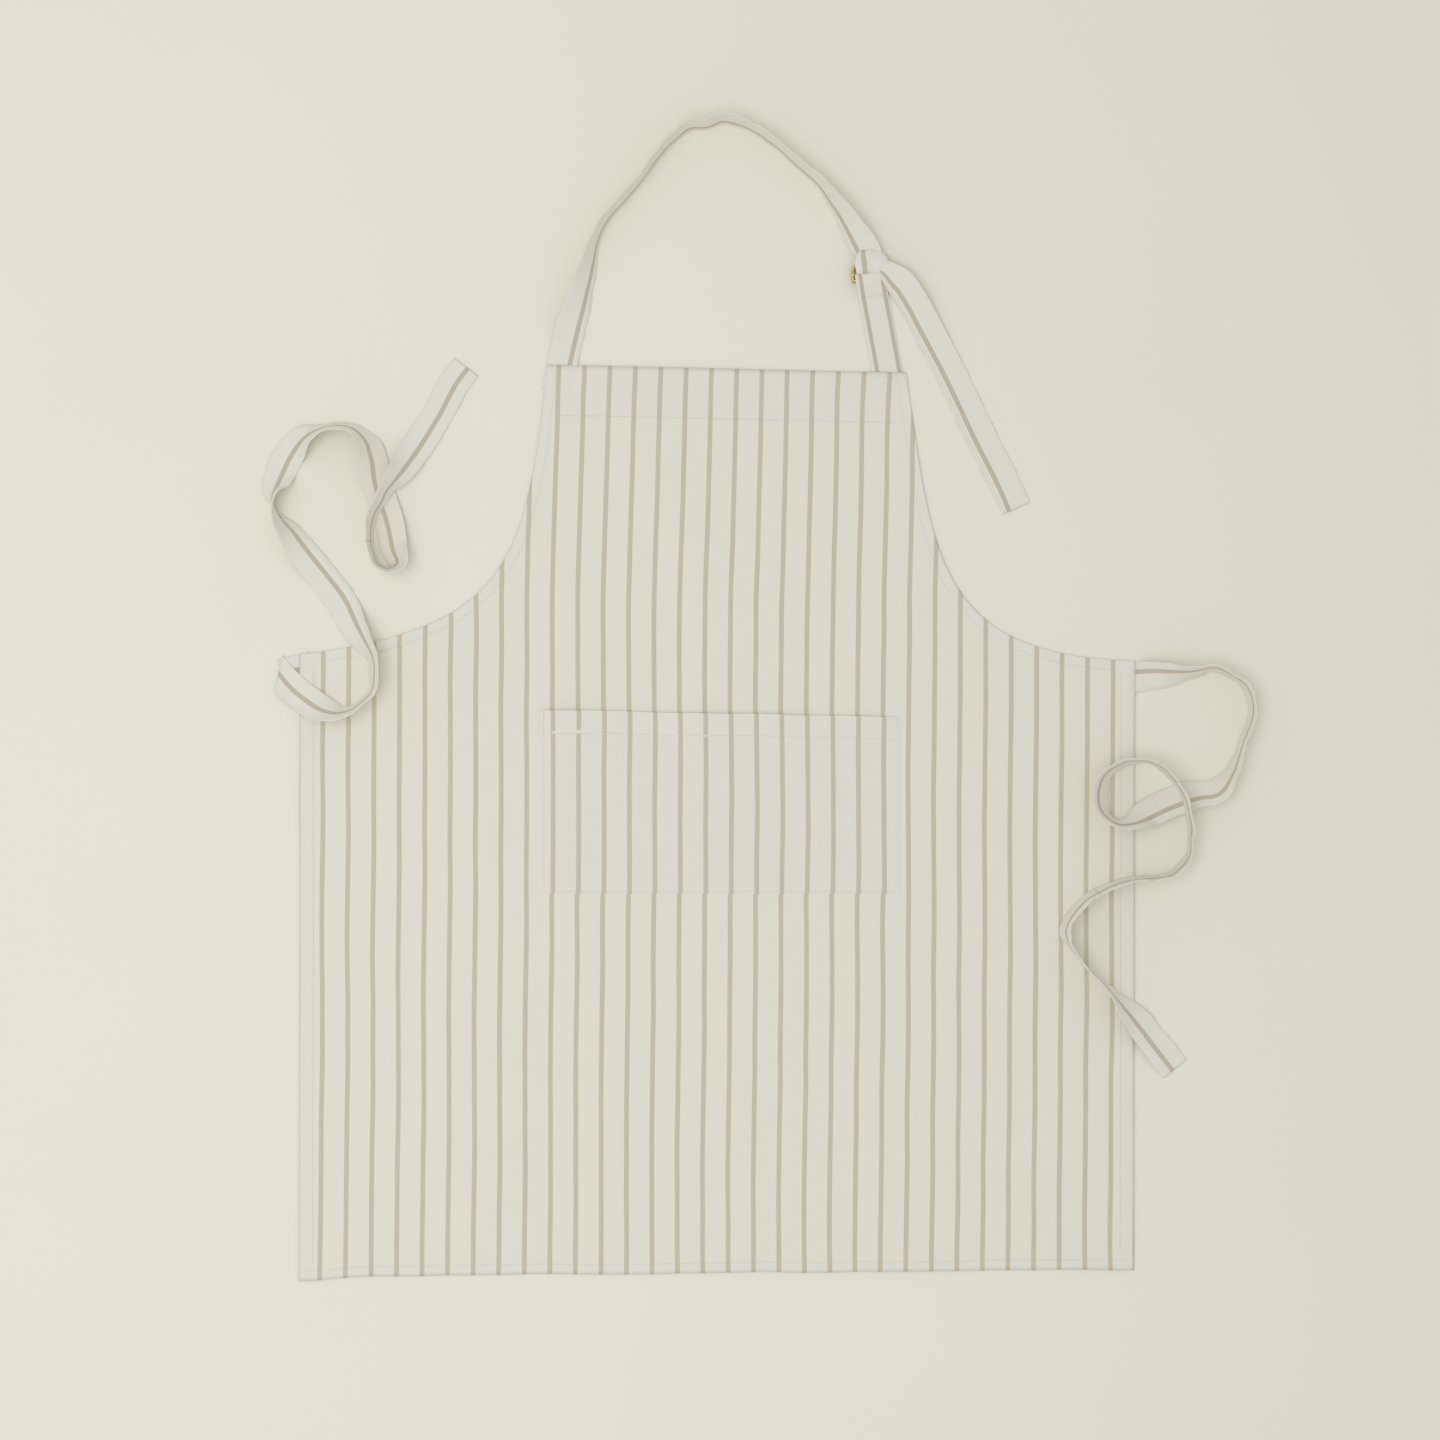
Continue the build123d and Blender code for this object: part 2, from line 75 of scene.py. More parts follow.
def smoothstep(low: float, high: float, at: np.ndarray) -> np.ndarray:
    """Rise from 0 at low to 1 at high along 3t^2 - 2t^3.

    Args:
        low: where the rise begins; it may be above high for a fall.
        high: where it ends.
        at: the values to look up.

    Returns:
        The heights, from 0 to 1.
    """
    t = np.clip((at - low) / (high - low), 0.0, 1.0)
    return t * t * (3.0 - 2.0 * t)


def ripple(seed: int, at: np.ndarray, wavelength: float) -> np.ndarray:
    """Add five sines of random phase, each a third shorter and weaker than the last.

    Args:
        seed: picks the phases.
        at: distances along the ripple.
        wavelength: the longest sine's length.

    Returns:
        Heights within about -1 to 1.
    """
    rng = np.random.default_rng(seed)
    order = np.arange(5)
    phases = rng.uniform(0.0, 2.0 * np.pi, 5)
    lengths = wavelength * 0.67 ** order * rng.uniform(0.9, 1.1, 5)
    waves = np.sin(2.0 * np.pi * at[..., None] / lengths + phases) * 0.72 ** order
    return waves.sum(axis=-1) / 2.0


def through(stations: np.ndarray, step: float) -> np.ndarray:
    """Pass a smooth curve through stations, a cubic Hermite on the distance between their first two columns.

    Args:
        stations: one station a row.
        step: distance between the points that come out.

    Returns:
        One evenly spaced point a row, with the columns of the stations.
    """
    hops = np.linalg.norm(np.diff(stations[:, :2], axis=0), axis=1)
    chord = np.concatenate(([0.0], np.cumsum(hops)))
    slope = np.gradient(stations, chord, axis=0)
    at = np.linspace(0.0, chord[-1], max(6, round(chord[-1] / step)))
    span = np.clip(np.searchsorted(chord, at, side="right") - 1, 0, len(chord) - 2)
    hop = (chord[span + 1] - chord[span])[:, None]
    t = (at - chord[span])[:, None] / hop
    return ((1 + 2 * t) * (1 - t) ** 2 * stations[span] + t * (1 - t) ** 2 * hop * slope[span]
            + t * t * (3 - 2 * t) * stations[span + 1] + t * t * (t - 1) * hop * slope[span + 1])


def bezier(points: Sequence[Sequence[float]], count: int) -> np.ndarray:
    """Sample a cubic Bezier curve evenly in its parameter.

    Args:
        points: its four points.
        count: how many samples.

    Returns:
        The samples, one a row.
    """
    p0, p1, p2, p3 = (np.array(p, float) for p in points)
    t = np.linspace(0.0, 1.0, count)[:, None]
    return (1 - t) ** 3 * p0 + 3 * t * (1 - t) ** 2 * p1 + 3 * t * t * (1 - t) * p2 + t ** 3 * p3


def unit(vectors: np.ndarray) -> np.ndarray:
    """Scale vectors, one a row, to a length of 1."""
    return vectors / np.maximum(np.linalg.norm(vectors, axis=-1, keepdims=True), 1e-12)


def distance_along(line: np.ndarray) -> np.ndarray:
    """Distance from a line's first point to each of its points."""
    return np.concatenate(([0.0], np.cumsum(np.linalg.norm(np.diff(line, axis=0), axis=1))))


def between(line: np.ndarray, column: int, low: float, high: float) -> np.ndarray:
    """The points of a line whose x or y, by column, is above low and below high."""
    return line[(line[:, column] > low) & (line[:, column] < high)]


def shifted(line: np.ndarray, by: float) -> np.ndarray:
    """Move a flat line of x and y sideways, to the left of its travel, by a distance."""
    run = unit(np.gradient(line, axis=0))
    return line + np.stack([-run[:, 1], run[:, 0]], axis=1) * by


# ---------------------------------------------------------------- meshes


def mesh_piece(name: str, points: np.ndarray, faces: list, corners: np.ndarray) -> bpy.types.Object:
    """Make a smooth-shaded mesh object with a UV map.

    Args:
        name: the piece's name.
        points: its vertices, one a row.
        faces: vertex numbers of each face.
        corners: one UV a row for each corner of each face, in the faces' order.

    Returns:
        The object, at the origin.
    """
    mesh = bpy.data.meshes.new(name)
    mesh.from_pydata(points.reshape(-1, 3).tolist(), [], faces)
    layer = mesh.uv_layers.new(name=UV_NAME)
    layer.data.foreach_set("uv", corners.astype(np.float32).ravel())
    mesh.polygons.foreach_set("use_smooth", np.ones(len(faces), dtype=bool))
    mesh.update()
    piece = bpy.data.objects.new(name, mesh)
    bpy.context.scene.collection.objects.link(piece)
    return piece


def grid_faces(rows: int, columns: int, closed: bool) -> np.ndarray:
    """Number the corners of a grid's quads, anticlockwise where rows run up and columns run right.

    Args:
        rows: points along.
        columns: points across.
        closed: whether the last column joins the first.

    Returns:
        Four row and column pairs a quad, shaped (quads, 4, 2), with the last column not yet wrapped.
    """
    across = columns if closed else columns - 1
    i, j = np.meshgrid(np.arange(rows - 1), np.arange(across), indexing="ij")
    pairs = [(i, j), (i, j + 1), (i + 1, j + 1), (i + 1, j)]
    return np.stack([np.stack(p, axis=-1) for p in pairs], axis=2).reshape(-1, 4, 2)


def sheet_piece(name: str, points: np.ndarray, uv: np.ndarray, layers: np.ndarray) -> bpy.types.Object:
    """Make an open grid of cloth.

    Args:
        name: the piece's name.
        points: its grid, shaped (rows, columns, 3).
        uv: cloth coordinates of each point.
        layers: 0 where the cloth is single and 1 where it is double, for each point.

    Returns:
        The object.
    """
    rows, columns = points.shape[:2]
    cells = grid_faces(rows, columns, closed=False)
    faces = (cells[..., 0] * columns + cells[..., 1]).tolist()
    piece = mesh_piece(name, points, faces, uv[cells[..., 0], cells[..., 1]].reshape(-1, 2))
    double = piece.data.attributes.new(LAYERS_NAME, "FLOAT", "POINT")
    double.data.foreach_set("value", layers.astype(np.float32).ravel())
    return piece


def tube_piece(name: str, loops: np.ndarray, uv: np.ndarray) -> bpy.types.Object:
    """Make a closed skin over cross-sections, with a flat cap at each end.

    Args:
        name: the piece's name.
        loops: the cross-sections, shaped (rows, points round, 3).
        uv: cloth coordinates where each column's face starts and ends, shaped (rows, points round, 2, 2).

    Returns:
        The object.
    """
    rows, around = loops.shape[:2]
    cells = grid_faces(rows, around, closed=True)
    faces = (cells[..., 0] * around + cells[..., 1] % around).tolist()
    ring = np.arange(around)
    faces += [ring[::-1].tolist(), (ring + (rows - 1) * around).tolist()]
    side = np.array([0, 1, 1, 0])[None, :]
    column = cells[:, :1, 1]
    corners = [uv[cells[..., 0], column, side].reshape(-1, 2), uv[0, ring[::-1], 0], uv[-1, ring, 0]]
    piece = mesh_piece(name, loops, faces, np.concatenate(corners))
    double = piece.data.attributes.new(LAYERS_NAME, "FLOAT", "POINT")
    double.data.foreach_set("value", np.ones(rows * around, np.float32))
    return piece


def crisp_rim(piece: bpy.types.Object) -> None:
    """Keep an open sheet's rim sharp, so that its cut edge does not shade the face beside it."""
    mesh = piece.data
    used = np.zeros(len(mesh.loops), dtype=np.int32)
    mesh.loops.foreach_get("edge_index", used)
    rim = np.bincount(used, minlength=len(mesh.edges)) == 1
    mesh.edges.foreach_set("use_edge_sharp", rim)


def thicken(piece: bpy.types.Object, thick: float) -> None:
    """Give an open sheet its thickness, half to each side."""
    skin = piece.modifiers.new("Thickness", "SOLIDIFY")
    skin.thickness = thick
    skin.offset = 0.0
    skin.use_even_offset = False


# ---------------------------------------------------------------- shader maths


class Value:
    """A number in a shader. Working with it in an expression adds the Math nodes."""

    def __init__(self, graph: "Graph", socket: Any) -> None:
        """Hold a socket and the graph that it is in."""
        self.graph = graph
        self.socket = socket

    def __add__(self, other: Any) -> "Value":
        """Add a value or a number."""
        return self.graph.math("ADD", self, other)

    def __radd__(self, other: Any) -> "Value":
        """Add to a number."""
        return self.graph.math("ADD", other, self)

    def __sub__(self, other: Any) -> "Value":
        """Take away a value or a number."""
        return self.graph.math("SUBTRACT", self, other)

    def __rsub__(self, other: Any) -> "Value":
        """Take this away from a number."""
        return self.graph.math("SUBTRACT", other, self)

    def __mul__(self, other: Any) -> "Value":
        """Multiply by a value or a number."""
        return self.graph.math("MULTIPLY", self, other)

    def __rmul__(self, other: Any) -> "Value":
        """Multiply a number."""
        return self.graph.math("MULTIPLY", other, self)

    def __truediv__(self, other: Any) -> "Value":
        """Divide by a value or a number."""
        return self.graph.math("DIVIDE", self, other)


class Graph:
    """A material's nodes, from an empty tree to its output."""

    def __init__(self, name: str) -> None:
        """Start a material with nothing but an output."""
        self.material = bpy.data.materials.new(name)
        self.material.use_nodes = True
        self.tree = self.material.node_tree
        self.tree.nodes.clear()

    def node(self, kind: str, settings: Mapping[str, Any], inputs: Mapping[Any, Any]) -> bpy.types.Node:
        """Add one node.

        Args:
            kind: its type.
            settings: attributes that are set before its sockets are filled.
            inputs: a value, a number, a colour or a socket for each socket, by name or number.

        Returns:
            The node.
        """
        made = self.tree.nodes.new(kind)
        for key, setting in settings.items():
            setattr(made, key, setting)
        for key, given in inputs.items():
            source = given.socket if isinstance(given, Value) else given
            if isinstance(source, bpy.types.NodeSocket):
                self.tree.links.new(source, made.inputs[key])
            else:
                made.inputs[key].default_value = source
        return made

    def math(self, operation: str, *values: Any) -> Value:
        """Add a Math node on values or numbers."""
        made = self.node("ShaderNodeMath", {"operation": operation}, dict(enumerate(values)))
        return Value(self, made.outputs[0])

    def rise(self, value: Value, low: float, high: float) -> Value:
        """Rise smoothly from 0 where value is low to 1 where it is high."""
        made = self.node("ShaderNodeMapRange", {"interpolation_type": "SMOOTHSTEP"},
                         {"Value": value, "From Min": low, "From Max": high})
        return Value(self, made.outputs["Result"])

    def noise(self, place: Any, scale: float, detail: float = 2.0) -> Value:
        """Add Perlin noise of a scale on a vector."""
        made = self.node("ShaderNodeTexNoise", {}, {"Vector": place, "Scale": scale, "Detail": detail})
        return Value(self, made.outputs["Fac"])

    def stretch(self, place: Any, by: Sequence[float]) -> Any:
        """Multiply a vector by another, part by part."""
        made = self.node("ShaderNodeVectorMath", {"operation": "MULTIPLY"}, {0: place, 1: by})
        return made.outputs["Vector"]

    def blend(self, share: Any, first: Any, second: Any) -> Any:
        """Mix two colours by a share."""
        made = self.node("ShaderNodeMix", {"data_type": "RGBA"}, {"Factor": share, 6: first, 7: second})
        return made.outputs[2]

    def cloth_place(self) -> tuple[Any, Value, Value]:
        """The cloth's own UV map, as a vector and as the values across and along its stripes."""
        place = self.node("ShaderNodeUVMap", {"uv_map": UV_NAME}, {}).outputs["UV"]
        parts = self.node("ShaderNodeSeparateXYZ", {}, {0: place})
        return place, Value(self, parts.outputs[0]), Value(self, parts.outputs[1])

    def object_place(self) -> Any:
        """The piece's own Object coordinates."""
        return self.node("ShaderNodeTexCoord", {}, {}).outputs["Object"]

    def bump(self, strength: float, depth: float, height: Value) -> Any:
        """Turn a height into a bumped normal."""
        made = self.node("ShaderNodeBump", {}, {"Strength": strength, "Distance": depth, "Height": height})
        return made.outputs["Normal"]

    def finish(self, surface: Mapping[str, Any]) -> bpy.types.Material:
        """Close the material with a Principled surface.

        Args:
            surface: values and links of the surface's sockets.

        Returns:
            The material.
        """
        skin = self.node("ShaderNodeBsdfPrincipled", {}, surface)
        self.node("ShaderNodeOutputMaterial", {}, {"Surface": skin.outputs[0]})
        return self.material


def colour(red: float, green: float, blue: float) -> tuple[float, float, float, float]:
    """Turn a display colour of 0 to 255 into the linear colour that a shader takes."""
    share = np.array([red, green, blue]) / 255.0
    linear = np.where(share <= 0.04045, share / 12.92, ((share + 0.055) / 1.055) ** 2.4)
    return (*linear.tolist(), 1.0)


def deepened(tone: Sequence[float], share: float) -> tuple[float, float, float, float]:
    """Darken a linear colour to a share of itself."""
    return (*(part * share for part in tone[:3]), 1.0)


# ---------------------------------------------------------------- finishes


@dataclass(frozen=True)
class StripedCloth:
    """A plain-woven cotton in cream with narrow two-tone stripes along its warp."""

    name: str
    ground: tuple[float, float, float] = (240.0, 238.0, 225.0)
    doubled: tuple[float, float, float] = (239.0, 236.5, 226.0)
    cool: tuple[float, float, float] = (200.0, 199.0, 181.0)
    warm: tuple[float, float, float] = (209.0, 195.0, 168.0)
    stripe: float = 0.0039           # width of one stripe
    soft: float = 0.0006             # width over which its edge fades
    merge: float = 0.0004            # its two tones run together this far to each side of its middle
    drift: float = 0.0012            # how far it wanders sideways
    thread: float = 0.00055          # one thread to the next
    slubs: float = 1400.0            # thick places a metre, across a thread
    slub: float = 0.035              # and how many of those there are along it
    relief: float = 0.00009          # how deep the weave is

    def material(self) -> bpy.types.Material:
        """Weave the cloth: stripes, threads, slubs and a faint mottle, all on the cloth's own UV map."""
        graph = Graph(self.name)
        place, across, along = graph.cloth_place()
        drift = (graph.noise(place, 9.0) - 0.5) * self.drift
        share = graph.math("FRACT", (across + drift) / PITCH + 0.5) - 0.5
        off = share * PITCH
        edge = graph.math("ABSOLUTE", off)
        band = graph.rise(edge, self.stripe / 2 + self.soft / 2, self.stripe / 2 - self.soft / 2)
        warp = graph.math("SINE", across * (2 * np.pi / self.thread))
        weft = graph.math("SINE", along * (2 * np.pi / self.thread))
        over = warp * weft
        slub_warp = graph.noise(graph.stretch(place, (1.0, self.slub, 1.0)), self.slubs)
        slub_weft = graph.noise(graph.stretch(place, (self.slub, 1.0, 1.0)), self.slubs)
        dyed = band * (0.86 + 0.14 * over) * (0.82 + 0.36 * slub_warp)
        tone = graph.blend(graph.rise(off, -self.merge, self.merge), colour(*self.cool), colour(*self.warm))
        double = graph.node("ShaderNodeAttribute", {"attribute_name": LAYERS_NAME}, {}).outputs["Fac"]
        ground = graph.blend(double, colour(*self.ground), colour(*self.doubled))
        mottle = ((graph.noise(place, 26.0, 4.0) - 0.5) * 0.10 + (slub_weft - 0.5) * 0.10
                  + (slub_warp - 0.5) * 0.08)
        shade = deepened(colour(*self.doubled), 0.90)
        ground = graph.blend(graph.math("MAXIMUM", mottle * 2.0 + 0.12, 0.0), ground, shade)
        height = over * 0.5 + slub_warp * 0.6 + slub_weft * 0.6
        return graph.finish({
            "Base Color": graph.blend(dyed, ground, tone),
            "Roughness": 0.92 - 0.06 * over,
            "Specular IOR Level": 0.2,
            "Sheen Weight": 0.12,
            "Sheen Roughness": 0.5,
            "Normal": graph.bump(0.6, self.relief, height),
        })


@dataclass(frozen=True)
class SewingThread:
    """Cotton thread, twisted, a little lighter than the cloth."""

    name: str = "sewing_thread"
    tone: tuple[float, float, float] = (243.0, 241.0, 230.0)
    turns: tuple[float, float] = (5200.0, 9000.0)    # radians of twist a metre, on each way of its UV map
    relief: float = 0.00008

    def material(self) -> bpy.types.Material:
        """Twist the thread with slanting lines on its own UV map."""
        graph = Graph(self.name)
        _, across, along = graph.cloth_place()
        twist = graph.math("SINE", across * self.turns[0] + along * self.turns[1])
        tone = colour(*self.tone)
        return graph.finish({
            "Base Color": graph.blend(0.5 - 0.5 * twist, tone, deepened(tone, 0.82)),
            "Roughness": 0.75,
            "Normal": graph.bump(0.5, self.relief, twist),
        })


@dataclass(frozen=True)
class RingBrass:
    """Brass wire, polished and a little dulled by handling."""

    name: str = "ring_brass"
    bright: tuple[float, float, float] = (229.0, 208.0, 142.0)
    dull: tuple[float, float, float] = (184.0, 160.0, 98.0)
    patches: float = 420.0           # dull patches a metre
    scratches: float = 2600.0        # scratches a metre
    relief: float = 0.00004

    def material(self) -> bpy.types.Material:
        """Dull the brass in patches and scratch it finely, on Object coordinates."""
        graph = Graph(self.name)
        place = graph.object_place()
        patch = graph.noise(place, self.patches, 3.0)
        scratch = graph.noise(graph.stretch(place, (1.0, 6.0, 6.0)), self.scratches)
        dulled = graph.rise(patch, 0.35, 0.75)
        return graph.finish({
            "Base Color": graph.blend(dulled, colour(*self.bright), colour(*self.dull)),
            "Metallic": 1.0,
            "Roughness": 0.22 + 0.28 * patch,
            "Normal": graph.bump(0.25, self.relief, scratch),
        })


@dataclass(frozen=True)
class TablePaper:
    """The pale matt surface under the apron."""

    name: str = "table_paper"
    tone: tuple[float, float, float] = (243.0, 242.0, 229.0)

    def material(self) -> bpy.types.Material:
        """Colour the surface, with the faintest mottle on Object coordinates."""
        graph = Graph(self.name)
        tone = colour(*self.tone)
        mottle = graph.noise(graph.object_place(), 3.0)
        return graph.finish({
            "Base Color": graph.blend(mottle, tone, deepened(tone, 0.97)),
            "Roughness": 0.95,
            "Specular IOR Level": 0.1,
        })


class Slot(Enum):
    """The record's material slots."""

    PANEL = "panel_cloth"
    POCKET = "pocket_cloth"
    STRAP = "strap_cloth"
    THREAD = "thread"
    BRASS = "brass"


FINISHES: dict[Slot, Any] = {
    Slot.PANEL: StripedCloth("panel_stripe"),
    Slot.POCKET: StripedCloth("pocket_stripe", ground=(238.5, 235.5, 225.5)),
    Slot.STRAP: StripedCloth("strap_stripe", doubled=(239.5, 236.5, 226.5),
                             cool=(193.0, 190.0, 173.0), warm=(200.0, 187.0, 166.0)),
    Slot.THREAD: SewingThread(),
    Slot.BRASS: RingBrass(),
}


@dataclass(frozen=True)
class Bend:
    """Two bodies that a piece lies between: the first up to start and the second from end on. Nothing here
    makes the piece follow them.
    """

    first: str
    second: str
    start: tuple[float, float, float]
    end: tuple[float, float, float]


class Wardrobe:
    """Makes each finish once, and puts pieces in their finishes and on their bodies."""

    def __init__(self) -> None:
        """Start with nothing made."""
        self.made: dict[Slot, bpy.types.Material] = {}

    def dress(self, piece: bpy.types.Object, slot: Slot) -> None:
        """Put a slot's finish on a piece."""
        if slot not in self.made:
            self.made[slot] = FINISHES[slot].material()
        piece.data.materials.clear()
        piece.data.materials.append(self.made[slot])

    def fit(self, piece: bpy.types.Object, slot: Slot, rides: "str | Bend", *nodes: str) -> bpy.types.Object:
        """Dress a piece and put it in its place.

        Args:
            piece: the piece.
            slot: the slot of its finish.
            rides: its body, or its bend between two.
            nodes: the CAD nodes that it stands for, if any.

        Returns:
            The piece.
        """
        self.dress(piece, slot)
        if isinstance(rides, Bend):
            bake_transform(piece)
        else:
            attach(piece, rides)
        if nodes:
            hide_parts(*nodes)
        return piece


# ---------------------------------------------------------------- stitches


@dataclass(frozen=True)
class Stitching:
    """A row of single stitches, each a short arched piece of thread."""

    stitch: float = 0.0023
    gap: float = 0.0007
    radius: float = 0.00024
    sides: int = 6
    stages: tuple = (-1.0, -0.7, 0.0, 0.7, 1.0)      # places along a stitch, its middle at 0

    def row(self, name: str, line: np.ndarray, outward: np.ndarray) -> bpy.types.Object:
        """Sew stitches along a line.

        Each stitch is a tube whose radius falls to a third at its ends and whose middle arches off the
        cloth by its radius.

        Args:
            name: the piece's name.
            line: the line on the cloth's surface, one point a row.
            outward: the cloth's normal at each point.

        Returns:
            The stitches as one object.
        """
        far = distance_along(line)
        count = max(1, int(far[-1] / (self.stitch + self.gap)))
        start = (far[-1] - count * (self.stitch + self.gap)) / 2 + self.gap / 2
        heads = start + np.arange(count) * (self.stitch + self.gap)
        share = np.array(self.stages)
        at = heads[:, None] + self.stitch * (share + 1) / 2
        middle = np.stack([np.interp(at, far, line[:, k]) for k in range(3)], axis=-1)
        normal = unit(np.stack([np.interp(at, far, outward[:, k]) for k in range(3)], axis=-1))
        run = unit(middle[:, -1] - middle[:, 0])[:, None, :]
        side = unit(np.cross(normal, run))
        arch = middle + normal * (self.radius * (0.9 - 1.1 * share ** 2))[None, :, None]
        size = self.radius * np.sqrt(1.0 - 0.88 * share ** 2)
        turn = np.linspace(0.0, 2.0 * np.pi, self.sides, endpoint=False)
        rings = (arch[:, :, None, :]
                 + side[:, :, None, :] * (np.cos(turn) * size[:, None])[None, :, :, None]
                 + normal[:, :, None, :] * (np.sin(turn) * size[:, None])[None, :, :, None])
        cells = grid_faces(len(share), self.sides, closed=True)
        quads = cells[..., 0] * self.sides + cells[..., 1] % self.sides
        last = (len(share) - 1) * self.sides
        caps = np.array([[3, 2, 1, 0], [5, 4, 3, 0], [last, last + 1, last + 2, last + 3],
                         [last, last + 3, last + 4, last + 5]])
        one = np.concatenate([quads, caps])
        faces = one[None] + (np.arange(count) * len(share) * self.sides)[:, None, None]
        uv = np.stack([cells[..., 0] * self.stitch / 4, cells[..., 1] * self.radius], axis=-1)
        corners = np.concatenate([uv.reshape(-1, 2), np.zeros((16, 2))])
        return mesh_piece(name, rings, faces.reshape(-1, 4).tolist(), np.tile(corners, (count, 1)))

    def on_cloth(self, name: str, flat: np.ndarray, cloth: "BodyPanel | PatchPocket") -> bpy.types.Object:
        """Sew stitches along a flat line of x and y, lifted onto a cloth's upper face."""
        z = cloth.height(flat[:, 0], flat[:, 1]) + cloth.cloth / 2
        return self.row(name, np.column_stack([flat, z]), np.tile(UP, (len(flat), 1)))


# ---------------------------------------------------------------- the body panel


# The two ends of the seam that holds each strap behind an edge of the panel.
STRAP_SEAMS: Mapping[str, tuple] = {
    "neck_strap_stitch": ((-0.1395, 0.2513), (-0.1178, 0.2508)),
    "ring_strap_stitch": ((0.1335, 0.2453), (0.1555, 0.2448)),
    "tie_stitch_left": ((-0.3450, 0.0095), (-0.3452, -0.0125)),
    "tie_stitch_right": ((0.3475, 0.0045), (0.3471, -0.0170)),
}


@dataclass
class BodyPanel:
    """The apron's one large cut of cloth, with its edges turned to the back and sewn."""

    wardrobe: Wardrobe
    bib_left: tuple[float, float] = (-0.1415, 0.2554)
    bib_right: tuple[float, float] = (0.1591, 0.2487)
    side_left: tuple[float, float] = (-0.3483, 0.0126)
    side_right: tuple[float, float] = (0.3508, 0.0075)
    low_left: tuple[float, float] = (-0.3492, -0.5116)
    low_turn: tuple[float, float] = (-0.2880, -0.5074)
    low_right: tuple[float, float] = (0.3496, -0.5015)
    arm_left: tuple = ((-0.1585, 0.0806), (-0.1791, 0.0349))
    arm_right: tuple = ((0.1820, 0.0973), (0.1810, 0.0115))
    arm_hem: float = 0.0093
    side_hem: float = 0.0127
    bib_hem: float = 0.043
    cloth: float = 0.0005
    stitch_in: float = 0.0011        # a hem is sewn this far from its turned layer's inner edge
    bib_seam: tuple[float, float] = (-0.136, 0.1535)     # x of its two ends
    side_seam_tops: tuple[float, float] = (0.004, -0.001)
    low_seam_reach: float = 0.011    # how far the bottom seam runs on behind each side hem
    under: float = 1.05              # a turned layer's middle lies this many cloths behind the panel's
    rest: float = 0.00035            # height of the single cloth's middle over the table
    step: float = 0.00055            # how much a turned hem lifts it
    fade: float = 0.0008             # how far a hem's inner edge fades
    wave: float = 0.00022            # how high its long waves rise, as a share of their ripples
    bulge: float = 0.0011            # how much a strap sewn behind an edge lifts it
    bulge_reach: tuple[float, float] = (0.019, 0.022)
    rows_skirt: int = 130
    rows_bib: int = 108
    columns: int = 202
    first_stripe: float = -0.3312    # x of the stripe nearest to the left side
    stripe_lean: tuple = (           # height, and how far the stripes have leaned to the right there
        (-0.49, 0.0), (-0.276, 0.0016), (0.06, 0.0025), (0.226, 0.0067), (0.256, 0.0078))
    strap_spots: tuple = ((-0.1315, 0.252), (0.1445, 0.246), (-0.3455, 0.001), (0.3475, -0.0062))

    def curves(self) -> tuple[np.ndarray, np.ndarray]:
        """Sample both armholes from the skirt's corner up to the bib's corner."""
        left = bezier((self.side_left, *reversed(self.arm_left), self.bib_left), self.rows_bib)
        right = bezier((self.side_right, *reversed(self.arm_right), self.bib_right), self.rows_bib)
        return left, right

    def low_edge(self, x: np.ndarray) -> np.ndarray:
        """Height of the bottom edge at x: two straight runs with a slow wave of half a millimetre."""
        corners = np.array([self.low_left, self.low_turn, self.low_right])
        return np.interp(x, corners[:, 0], corners[:, 1]) + 0.0006 * ripple(3, x, 0.21)

    def top_edge(self, x: np.ndarray) -> np.ndarray:
        """Height of the bib's top edge at x, a straight line."""
        (x0, y0), (x1, y1) = self.bib_left, self.bib_right
        return y0 + (y1 - y0) * (x - x0) / (x1 - x0)

    def side_edge(self, y: np.ndarray, right: bool) -> np.ndarray:
        """Place of a skirt side at height y, a straight line between its corners."""
        low, top = (self.low_right, self.side_right) if right else (self.low_left, self.side_left)
        return np.interp(y, [low[1], top[1]], [low[0], top[0]])

    def doubled(self, x: np.ndarray, y: np.ndarray) -> np.ndarray:
        """Say where the cloth is turned: 1 within a hem's width of its edge, and 0 just past that."""
        armhole = np.full(x.shape, 1.0)
        for curve in self.curves():
            gap = np.hypot(x[..., None] - curve[::2, 0], y[..., None] - curve[::2, 1])
            armhole = np.minimum(armhole, gap.min(axis=-1))
        edges = ((self.arm_hem, armhole), (self.bib_hem, self.top_edge(x) - y),
                 (self.arm_hem, y - self.low_edge(x)), (self.side_hem, x - self.side_edge(y, False)),
                 (self.side_hem, self.side_edge(y, True) - x))
        return np.maximum.reduce([smoothstep(hem + self.fade, hem - self.fade, gap) for hem, gap in edges])

    def height(self, x: np.ndarray, y: np.ndarray) -> np.ndarray:
        """Height of the cloth's middle over the table.

        It is the rest height, plus a step at the hems, a low swelling over each strap sewn behind an
        edge, and long waves that only rise.
        """
        waves = ripple(11, x * 0.9 + y * 0.22, 0.16) + ripple(12, y - x * 0.3, 0.31)
        lift = self.rest + self.step * self.doubled(x, y) + self.wave * (waves + 1.4).clip(0.0, 3.0)
        for spot_x, spot_y in self.strap_spots:
            reach = np.hypot((x - spot_x) / self.bulge_reach[0], (y - spot_y) / self.bulge_reach[1])
            lift = lift + self.bulge * smoothstep(1.0, 0.45, reach)
        return lift

    def cloth_u(self, x: np.ndarray, y: np.ndarray) -> np.ndarray:
        """Distance across the cloth from its first stripe: x less the stripes' lean and a drift."""
        lean = np.interp(y, *np.array(self.stripe_lean).T)
        drift = 0.0005 * ripple(21, y + x * 0.6, 0.34)
        return x - self.first_stripe - lean - drift

